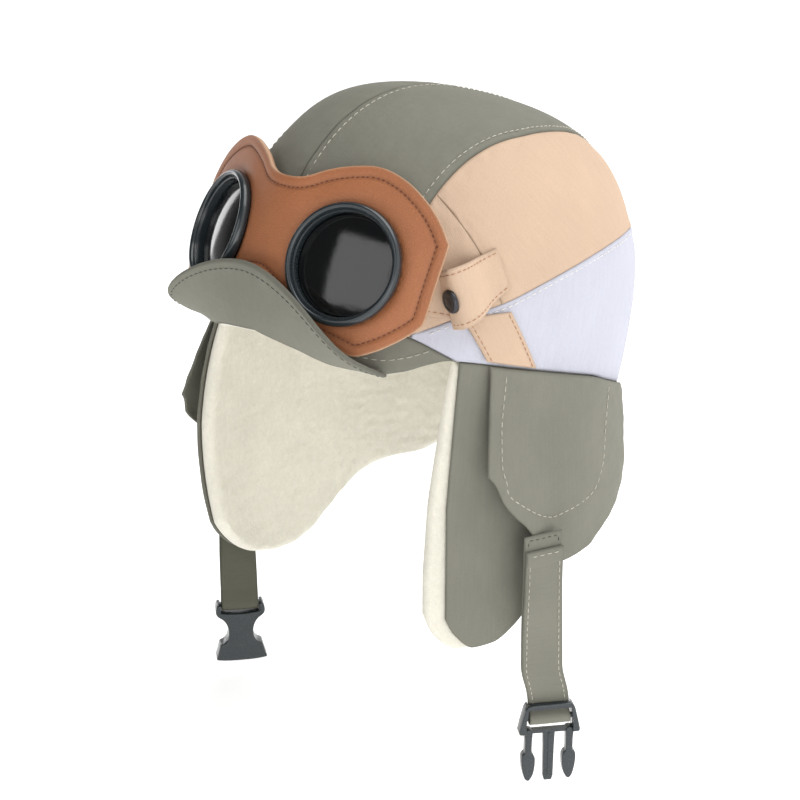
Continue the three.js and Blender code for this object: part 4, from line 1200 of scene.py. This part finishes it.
def buckle_socket():
    outline = both_ways(catmull(scaled([
        (0.73, 0.005), (0.8, 0.0), (0.86, 0.035), (0.893, 0.1), (0.88, 0.16), (0.8, 0.21), (0.64, 0.265),
        (0.53, 0.335), (0.465, 0.42), (0.45, 0.5), (0.47, 0.58), (0.53, 0.645), (0.63, 0.69), (0.76, 0.72),
        (0.8, 0.76), (0.87, 0.88), (0.92, 0.965), (0.8, 0.985), (0.5, 1.0), (0.2, 1.005),
    ], HALF, BAR / 2, SOCKET), 4, closed=False))
    deep, wall = 4.5, 1.5
    slot = WEB_WIDTH / 2 + 0.8

    def down(share):
        return BAR / 2 - share * SOCKET

    gap = [(slot, -BAR / 2), (slot, down(0.14)), (0.66 * slot, down(0.156)), (0.33 * slot, down(0.166)),
           (0, down(0.17))]
    gap = gap + [(-x, z) for x, z in reversed(gap[:-1])]
    cuts = [
        plate(gap[::-1], -20, 20, 0.2),
        rounded_box(-slot, slot, -20, -BAR / 2, -BAR, 30, 0.4, 0.3),
        rounded_box(-slot, slot, BAR / 2, 20, -BAR, 30, 0.4, 0.3),
        rounded_box(-0.74 * HALF, 0.74 * HALF, wall - deep, deep - wall, down(1.1), down(0.76), 1.0, 0.5),
        rounded_box(-HALF / 3, HALF / 3, wall - deep, deep - wall, down(0.8), down(0.359), 1.0, 0.5),
    ]
    at_bar(combined(plate(outline, -deep, deep, 0.8), cuts, "DIFFERENCE"), "buckle_socket_dressed", -1,
           "buckle_socket")


buckle_plug()
buckle_socket()

# Goggles: a leather sheet bent round the front, in the crown's frame
bend_reach = np.linspace(0, MASK_WIDE * 1.25, 400)
bend_yaw = np.radians(np.interp(bend_reach / MASK_WIDE, [0, 0.17, 0.5, 0.77, 1.07], [0, 18, 20, 24, 34]))
step = np.diff(bend_reach)
bend_x = np.concatenate([[0], np.cumsum(np.cos((bend_yaw[1:] + bend_yaw[:-1]) / 2) * step)])
bend_back = np.concatenate([[0], np.cumsum(np.sin((bend_yaw[1:] + bend_yaw[:-1]) / 2) * step)])


def mask_point(x, y, off):
    """Place on the leather, from lengths along it and up it, and height above its middle surface."""
    size = np.abs(x)
    yaw = np.interp(size, bend_reach, bend_yaw)
    away = np.interp(size, bend_reach, bend_x) + off * np.sin(yaw)
    back = np.interp(size, bend_reach, bend_back) - off * np.cos(yaw)
    side_way = np.where(x >= 0, 1, -1)
    return vectors(side_way * away,
                   MASK_Y + back * math.cos(MASK_LEAN) + y * math.sin(MASK_LEAN),
                   MASK_Z - back * math.sin(MASK_LEAN) + y * math.cos(MASK_LEAN))


MASK_OUTLINE = [
    (0.12, 0.72), (0.25, 0.85), (0.37, 0.94), (0.5, 1), (0.6, 0.99), (0.71, 0.93), (0.82, 0.82),
    (0.91, 0.69), (0.985, 0.53), (1, 0.46), (1, 0.1), (1, -0.24), (0.98, -0.33), (0.94, -0.42), (0.88, -0.53),
    (0.8, -0.65), (0.7, -0.755), (0.6, -0.74), (0.45, -0.7), (0.3, -0.62), (0.18, -0.46), (0.08, -0.34),
]


LOOP_POINTS = 420


def mask_loop():
    half = [(0.0, 0.69)] + MASK_OUTLINE + [(0.0, -0.3)]
    full = half + [(-u, v) for u, v in reversed(half[1:-1])]
    rough = catmull([(u * MASK_WIDE, v * MASK_HIGH) for u, v in full], 12)
    closed = np.vstack([rough, rough[:1]])
    return resample(closed, LOOP_POINTS + 1)[:-1]


def inset(loop, distance):
    way = np.roll(loop, -1, 0) - np.roll(loop, 1, 0)
    way /= np.linalg.norm(way, axis=1, keepdims=True)
    normal = np.stack([way[:, 1], -way[:, 0]], 1)
    area = np.sum(loop[:, 0] * np.roll(loop[:, 1], -1) - np.roll(loop[:, 0], -1) * loop[:, 1])
    return loop + normal * distance * (-1 if area > 0 else 1)


def distance_to(loop, points):
    return np.sqrt(((points[:, None] - loop[None]) ** 2).sum(-1)).min(1)


def inside(loop, points):
    a, b = loop, np.roll(loop, -1, 0)
    x, y = points[:, :1], points[:, 1:]
    crosses = (a[None, :, 1] > y) != (b[None, :, 1] > y)
    at = a[None, :, 0] + (y - a[None, :, 1]) * (b - a)[None, :, 0] / np.where(
        np.abs((b - a)[None, :, 1]) < 1e-9, 1e-9, (b - a)[None, :, 1])
    return (crosses & (x < at)).sum(1) % 2 == 1


def mask():
    loop = mask_loop()
    edge_loop = inset(loop, 0.5)
    circle = np.linspace(0, 2 * math.pi, 96, endpoint=False)
    centres = [np.array([s * RING_SET, RING_LIFT]) for s in (1, -1)]
    holes = [c + HOLE * np.stack([np.cos(circle), np.sin(circle)], 1) for c in centres]
    sewn = [inset(loop, d) for d in (1.2, 2.2, 3.4, 4.3, 5.0, 5.7, 6.6)]
    grid_x, grid_y = np.meshgrid(np.arange(-90, 90, 1.7), np.arange(-50, 52, 1.7))
    grid_x[1::2] += 0.85
    cloud = np.stack([grid_x.ravel(), grid_y.ravel()], 1)
    cloud = cloud[inside(loop, cloud) & (distance_to(loop, cloud) > 7.6)]
    cloud = np.vstack(sewn + [cloud])
    clear = np.minimum(*[np.linalg.norm(cloud - c, axis=1) for c in centres])
    cloud = cloud[clear > HOLE + 1.0]
    rings = [edge_loop] + holes
    points = np.vstack(rings + [cloud])
    edges = []
    base = 0
    for ring in rings:
        n = len(ring)
        edges += [(base + k, base + (k + 1) % n) for k in range(n)]
        base += n
    found = delaunay_2d_cdt([Vector(p) for p in points], edges, [], 0, 1e-4)
    flat = np.array([tuple(v) for v in found[0]])
    triangles = np.array([f for f in found[2] if len(f) == 3])
    centre = flat[triangles].mean(1)
    keep = inside(edge_loop, centre)
    for hole in holes:
        keep &= ~inside(hole, centre)
    triangles = triangles[keep]
    a, b, c = (flat[triangles[:, k]] for k in range(3))
    turned = (b - a)[:, 0] * (c - a)[:, 1] - (b - a)[:, 1] * (c - a)[:, 0] < 0
    triangles[turned] = triangles[turned][:, ::-1]
    depth = distance_to(loop, flat)
    to_hole = np.minimum(*[np.linalg.norm(flat - c, axis=1) for c in centres]) - HOLE
    groove_here = np.exp(-((depth - 5) / 0.75) ** 2)
    padding = 0.9 * smooth((depth - 5.5) / 7) * smooth(to_hole / 5)
    ridge = 0.25 * np.exp(-((depth - 2.6) / 1.4) ** 2)
    body = vectors(flat[:, 0], flat[:, 1], 0)
    soft = 0.35 * wobble(body, 34, 131) * smooth(depth / 10)
    raised = LEATHER / 2 - 0.55 * groove_here + padding + ridge + soft
    raised = np.where(depth < 0.8, LEATHER / 2, raised)
    front = mask_point(flat[:, 0], flat[:, 1], raised)
    back = mask_point(flat[:, 0], flat[:, 1], -LEATHER / 2 * np.ones(len(flat)))
    n = len(flat)
    lookup = {}
    for k, origins in enumerate(found[3]):
        for origin in origins:
            lookup[origin] = k
    faces = [tuple(t) for t in triangles] + [tuple(t[::-1] + n) for t in triangles]
    rounding = [(0.12, 0.62), (0.0, 0.0), (0.12, -0.62)]
    strips = [mask_point(*inset(loop, d).T, off * LEATHER * np.ones(len(loop))) for d, off in rounding]
    verts = np.vstack([front, back] + strips)
    size = len(loop)
    ids = [[lookup[k] for k in range(size)]]
    for k in range(3):
        ids.append([2 * n + k * size + i for i in range(size)])
    ids.append([lookup[k] + n for k in range(size)])
    for upper, lower in zip(ids, ids[1:]):
        for i in range(size):
            j = (i + 1) % size
            faces.append((upper[i], lower[i], lower[j], upper[j]))
    start = size
    for hole in holes:
        m = len(hole)
        around = [lookup[start + k] for k in range(m)]
        for i in range(m):
            j = (i + 1) % m
            faces.append((around[i], around[j], around[j] + n, around[i] + n))
        start += m
    cut = np.concatenate([np.clip(1 - depth / 0.7, 0, 1), np.zeros(n), np.ones(3 * size)])
    # The seam attribute marks the groove for its painted shade in the leather's colour
    seam = np.concatenate([groove_here, np.zeros(n + 3 * size)])
    made = make_object("goggle_mask_dressed", tilt(verts), faces, None, {"cut": cut, "seam": seam})
    work = bmesh.new()
    work.from_mesh(made.data)
    loose = [v for v in work.verts if not v.link_faces]
    bmesh.ops.delete(work, geom=loose, context="VERTS")
    bmesh.ops.recalc_face_normals(work, faces=work.faces)
    work.to_mesh(made.data)
    work.free()
    finish(made, leather, "tan_leather", "goggle_mask")
    made["wide"], made["long"] = 2 * MASK_WIDE * MM, 1.76 * MASK_HIGH * MM
    declared(made, "stretched", "front_band")
    line = inset(loop, 5.0)
    line = np.vstack([line, line[:1]])
    off = (LEATHER / 2 - 0.32) * np.ones(len(line))
    points = tilt(mask_point(line[:, 0], line[:, 1], off))
    normals = unit(tilt(mask_point(line[:, 0], line[:, 1], off + 1)) - points)
    stitch("mask_stitches", points, normals, length=1.5, space=0.95, width=0.45, height=0.24)
    sew("mask_stitches", brown_thread, "tan_leather")


mask()


def ring_frame(sign):
    yaw = sign * RING_YAW
    lean = math.cos(MASK_LEAN)
    normal = np.array([lean * math.sin(yaw), -lean * math.cos(yaw), math.sin(MASK_LEAN)])
    across = np.array([math.cos(yaw), math.sin(yaw), 0.0])
    centre = mask_point(np.array([sign * RING_SET]), np.array([RING_LIFT]), np.array([0.0]))[0]
    return centre, normal, across, np.cross(normal, across)


def turned(name, profile, frame_of, steps, material, slot, node, closed):
    """Turns a profile of radius and height about an axis."""
    centre, normal, across, up = frame_of
    angle = np.linspace(0, 2 * math.pi, steps, endpoint=False)
    r, h = profile[:, 0], profile[:, 1]
    spread = across[None] * np.cos(angle)[:, None] + up[None] * np.sin(angle)[:, None]
    grid = centre + spread[:, None] * r[None, :, None] + normal * h[None, :, None]
    nu, nv = grid.shape[:2]
    index = np.arange(nu * nv).reshape(nu, nv)
    index = np.vstack([index, index[:1]])
    if closed:
        index = np.hstack([index, index[:, :1]])
    faces = np.stack([index[:-1, :-1], index[1:, :-1], index[1:, 1:], index[:-1, 1:]], -1).reshape(-1, 4)
    points = grid.reshape(-1, 3)
    if volume_sign(points, faces) < 0:
        faces = faces[:, ::-1]
    made = make_object(name, tilt(points), faces)
    welded(made)
    return finish(made, material, slot, node)


ring_profile = catmull([
    (24.7, -1.1), (24.7, 0.6), (24.9, 1.5), (26.2, 1.7), (26.9, 2.3), (27.15, 3.6), (26.9, 5.2), (26.1, 6.2),
    (25.2, 6.5), (24.4, 6.1), (24.0, 5.2), (23.85, 4.2), (23.5, 3.7), (23.15, 4.0), (22.95, 3.7), (22.85, 2.6),
    (22.8, 0.5), (22.8, -1.1), (23.4, -1.3), (24.2, -1.3),
], 6)
radii = np.linspace(0, 22.5, 28)
dome_front = np.stack([radii, 0.5 + 2.5 * (1 - (radii / 22.5) ** 2)], 1)
dome_back = np.stack([radii[::-1], -1.1 + 2.5 * (1 - (radii[::-1] / 22.5) ** 2)], 1)
lens_profile = np.vstack([dome_front, [(22.55, 0.2), (22.55, -0.8)], dome_back])
for sign, tag in ((1, "L"), (-1, "R")):
    turned(f"lens_ring_{tag}_dressed", ring_profile, ring_frame(sign), 128, plastic, "black_plastic",
           f"lens_ring_{tag}", True)
    turned(f"lens_{tag}_dressed", lens_profile, ring_frame(sign), 128, lens_plastic, "dark_lens",
           f"lens_{tag}", False)

# Side bands, goggle straps, keeper tabs and snaps, on the wearer's left and mirrored
TRIM = 1.5
BAND_CORNERS = [(-0.42, 0.022), (-0.185, 0.022), (-0.36, 0.22), (-0.555, 0.17)]
TAB_CORNERS = [(-0.57, 0.13), (-0.38, 0.3), (-0.45, 0.44), (-0.65, 0.32)]
ON_BAND = GAP + TRIM + GAP
STRAP_END = (-0.49, 0.24)


def corner_mix(corners, u, v):
    def mix(k):
        return ((1 - u) * ((1 - v) * corners[0][k] + v * corners[3][k])
                + u * ((1 - v) * corners[1][k] + v * corners[2][k]))
    return mix(0) * FRONT_REACH, mix(1) * HEIGHT


def from_table(table, sign):
    """Place function of a sheet given by a table of middle points in the crown's frame."""
    along, up = np.gradient(table, axis=0), np.gradient(table, axis=1)
    normal = unit(np.cross(along, up))
    if normal[..., 0].mean() < 0:
        normal = -normal
    points_at, normals_at = table_place(table), table_place(normal)
    flip = np.array([sign, 1, 1])

    def place(u, v, off):
        return tilt((points_at(u, v) + normals_at(u, v) * np.asarray(off)[..., None]) * flip)
    return place


grid_u, grid_v = np.meshgrid(np.linspace(0, 1, 121), np.linspace(0, 1, 61), indexing="ij")


def on_side(y, z, off):
    base = side(y, z)
    return base + dome_normal(base) * np.asarray(off)[..., None]


band_patch = on_side(*corner_mix(BAND_CORNERS, grid_u, grid_v), (GAP + TRIM / 2) * np.ones_like(grid_u))


def goggle_strap_table():
    behind = -LEATHER / 2 - GAP - TRIM / 2
    across = (grid_v - 0.5) * 20
    on_mask = mask_point(MASK_WIDE * (0.8 + 0.34 * grid_u), across, behind * np.ones_like(grid_u))
    t = np.clip((grid_u - 0.5) / 0.5, 0, 1)
    start = mask_point(MASK_WIDE * 0.97 * np.ones_like(grid_u), across, behind * np.ones_like(grid_u))
    y = start[..., 1] + (STRAP_END[0] * FRONT_REACH - start[..., 1]) * t
    z = start[..., 2] + (STRAP_END[1] * HEIGHT + across - start[..., 2]) * t
    crown_part = on_side(y, z, (ON_BAND + TRIM / 2) * np.ones_like(t))
    away = (1 - smooth(t * 2.4))[..., None]
    crown_part = crown_part * (1 - away) + vectors(start[..., 0], y, z) * away
    return np.where((grid_u <= 0.5)[..., None], on_mask, crown_part)


# The tab from the rear forward, in lengths along it and heights above the crown
tab_path = catmull([
    (0, 1.0), (4, 1.1), (8, 2.0), (12, 4.4), (15.5, 7.8), (18.5, 10.9), (21, 12.9), (23.5, 13.7),
    (25.4, 13.4), (26.6, 12.2), (27.3, 10.4), (27.8, 8.4), (28.3, 6.4), (28.7, 4.7),
], 10, closed=False)
TAB_LONG = 27.4


def tab_point(run, v, off=0.0):
    """Middle of the tab at a share of its path, raised by off, and the outward direction there."""
    along = arc(tab_path) / arc(tab_path)[-1]
    way = unit(np.gradient(tab_path, axis=0))
    c, h = np.interp(run, along, tab_path[:, 0]), np.interp(run, along, tab_path[:, 1])
    wc, wh = np.interp(run, along, way[:, 0]), np.interp(run, along, way[:, 1])
    c, h = c - off * wh, h + off * wc
    y, z = corner_mix(TAB_CORNERS, 1 - c / TAB_LONG, v)
    return on_side(y, z, h)


tab_table = tab_point(1 - grid_u, grid_v)


def trim_lift(u, v, edge, points):
    return 0.12 * wobble(points, 12, 141) - 0.1 * np.exp(-((edge - 2.0) / 0.5) ** 2)


for sign, tag in ((1, "L"), (-1, "R")):
    place = from_table(band_patch, sign)
    made = pillow(f"side_band_{tag}_dressed", place, TRIM / 2, 0.0, 0.8, 30, 40, trim_lift, steps=4)
    finish(made, beige, "beige_cloth", f"side_band_{tag}")
    declared(made, "laid", f"crown_wedge_panel_{tag}")
    t = np.linspace(0.02, 0.98, 200)
    for u in (0.09, 0.91):
        stitch("trim_stitches", *line_on(place, u, t, TRIM / 2), length=2.0, space=0.9, width=0.4, height=0.2)
    place = from_table(goggle_strap_table(), sign)
    made = pillow(f"goggle_strap_{tag}_dressed", place, TRIM / 2, 0.0, 0.8, 80, 30, trim_lift, steps=4)
    finish(made, beige, "beige_cloth", f"goggle_strap_{tag}")
    declared(made, "stretched", "goggle_mask")
    for v in (0.1, 0.9):
        stitch("trim_stitches", *line_on(place, t, v, TRIM / 2), length=2.0, space=0.9, width=0.4, height=0.2)
    place = from_table(tab_table, sign)
    made = pillow(f"keeper_tab_{tag}_dressed", place, TRIM / 2, 0.0, 0.8, 64, 30, trim_lift, steps=4)
    finish(made, beige, "beige_cloth", f"keeper_tab_{tag}")
    declared(made, "folded", f"goggle_strap_{tag}")
    for v in (0.09, 0.91):
        stitch("trim_stitches", *line_on(place, t, v, TRIM / 2), length=2.0, space=0.9, width=0.4, height=0.2)
    spot = tab_point(np.array([0.87]), np.array([0.5]))[0]
    ahead = tab_point(np.array([0.88]), np.array([0.5]))[0] - spot
    upward = tab_point(np.array([0.87]), np.array([0.55]))[0] - spot
    normal = unit(np.cross(ahead, upward))
    outward = tab_point(np.array([0.87]), np.array([0.5]), np.array([1.0]))[0] - spot
    normal = normal if normal @ outward > 0 else -normal
    across = unit(upward)
    flip = np.array([sign, 1, 1])
    seat = (spot + normal * (TRIM / 2 + 0.1)) * flip
    snap_frame = (seat, normal * flip, across * flip, np.cross(normal, across) * flip)
    cap = catmull([(0.0, -0.5), (4.9, -0.5), (5.3, 0.0), (5.25, 0.8), (4.7, 1.5), (3.6, 1.75), (3.3, 1.6),
                   (2.6, 1.62), (1.4, 1.9), (0.0, 2.0)], 5, closed=False)
    turned(f"snap_{tag}_dressed", cap, snap_frame, 64, metal, "gunmetal", f"snap_{tag}", False)
sew("trim_stitches", beige_thread, "beige_cloth")

# Floor, light and camera
lowest = cad_box[0][2]
floor = bpy.data.meshes.new("floor")
wide = 4.0
floor.from_pydata([(-wide, -wide, 0), (wide, -wide, 0), (wide, wide, 0), (-wide, wide, 0)], [], [(0, 1, 2, 3)])
ground = bpy.data.objects.new("floor", floor)
ground.location = (0, 0, lowest - 0.012)
scene.collection.objects.link(ground)
floor_paint, floor_tree, floor_shader = nodes_of("floor_paint", (0.93, 0.93, 0.93), 0.9, specular=0.1)
floor_spot = add(floor_tree, "ShaderNodeTexCoord").outputs["Object"]
floor_cloud = ranged(floor_tree, noise(floor_tree, floor_spot, 3, 2), 0.3, 0.7, 0.99, 1.01)
floor_tree.links.new(tinted(floor_tree, (0.93, 0.93, 0.93), floor_cloud), floor_shader.inputs["Base Color"])
floor_shader.inputs["Emission Color"].default_value = (1, 1, 1, 1)
floor_shader.inputs["Emission Strength"].default_value = 0.5
floor.materials.append(floor_paint)

world = bpy.data.worlds.new("studio")
world.use_nodes = True
sky = world.node_tree
# A white room with a dark side in front, to the wearer's right and above
toward = add(sky, "ShaderNodeVectorMath", operation="DOT_PRODUCT")
sky.links.new(add(sky, "ShaderNodeTexCoord").outputs["Generated"], toward.inputs[0])
toward.inputs[1].default_value = (-0.45, -0.7, 0.55)
sky.nodes["Background"].inputs["Color"].default_value = (1, 1, 1, 1)
sky.links.new(ranged(sky, toward.outputs["Value"], -0.05, 0.65, 1.2, 0.1), sky.nodes["Background"].inputs["Strength"])
scene.world = world

AZIMUTH, ELEVATION = math.radians(46), math.radians(21)
cam_right = Vector((math.cos(AZIMUTH), math.sin(AZIMUTH), 0))
cam_back = Vector((math.sin(AZIMUTH) * math.cos(ELEVATION), -math.cos(AZIMUTH) * math.cos(ELEVATION),
                   math.sin(ELEVATION)))
cam_up = cam_back.cross(cam_right)


def lamp(name, place, target, size, power, colour=(1, 1, 1)):
    data = bpy.data.lights.new(name, "AREA")
    data.shape = "RECTANGLE"
    data.size, data.size_y = size
    data.energy = power
    data.color = colour
    made = bpy.data.objects.new(name, data)
    made.location = place
    made.rotation_euler = (Vector(target) - Vector(place)).to_track_quat("-Z", "Y").to_euler()
    made.visible_camera = False
    scene.collection.objects.link(made)
    return made


# The near lens mirrors the soft box in front, and the far lens's outer third the strip at its side
lamp("soft_box", (0.14, -1.28, 0.63), (0.04, -0.115, 0.06), (0.82, 0.84), 4)
lamp("side_strip", (-1.33, 0.04, -0.01), (-0.04, -0.115, 0.06), (0.26, 1.0), 2.2)
lamp("key_light", (1.23, -0.86, 0.0), (0, 0, -0.03), (1.0, 1.0), 6)
lamp("top_light", (0.3, 0.4, 1.6), (0, 0, 0.05), (1.4, 1.4), 17)

camera_data = bpy.data.cameras.new("photo_camera")
camera_data.lens = 83.0
camera_data.sensor_width = 36.0
camera = bpy.data.objects.new("photo_camera", camera_data)
spot = cam_right * -0.0117 + cam_up * -0.0341 + cam_back * 0.9
rows = [[cam_right[k], cam_up[k], cam_back[k], spot[k]] for k in range(3)] + [[0, 0, 0, 1]]
camera.matrix_world = Matrix(rows)
scene.collection.objects.link(camera)
scene.camera = camera
scene.view_settings.view_transform = "Standard"
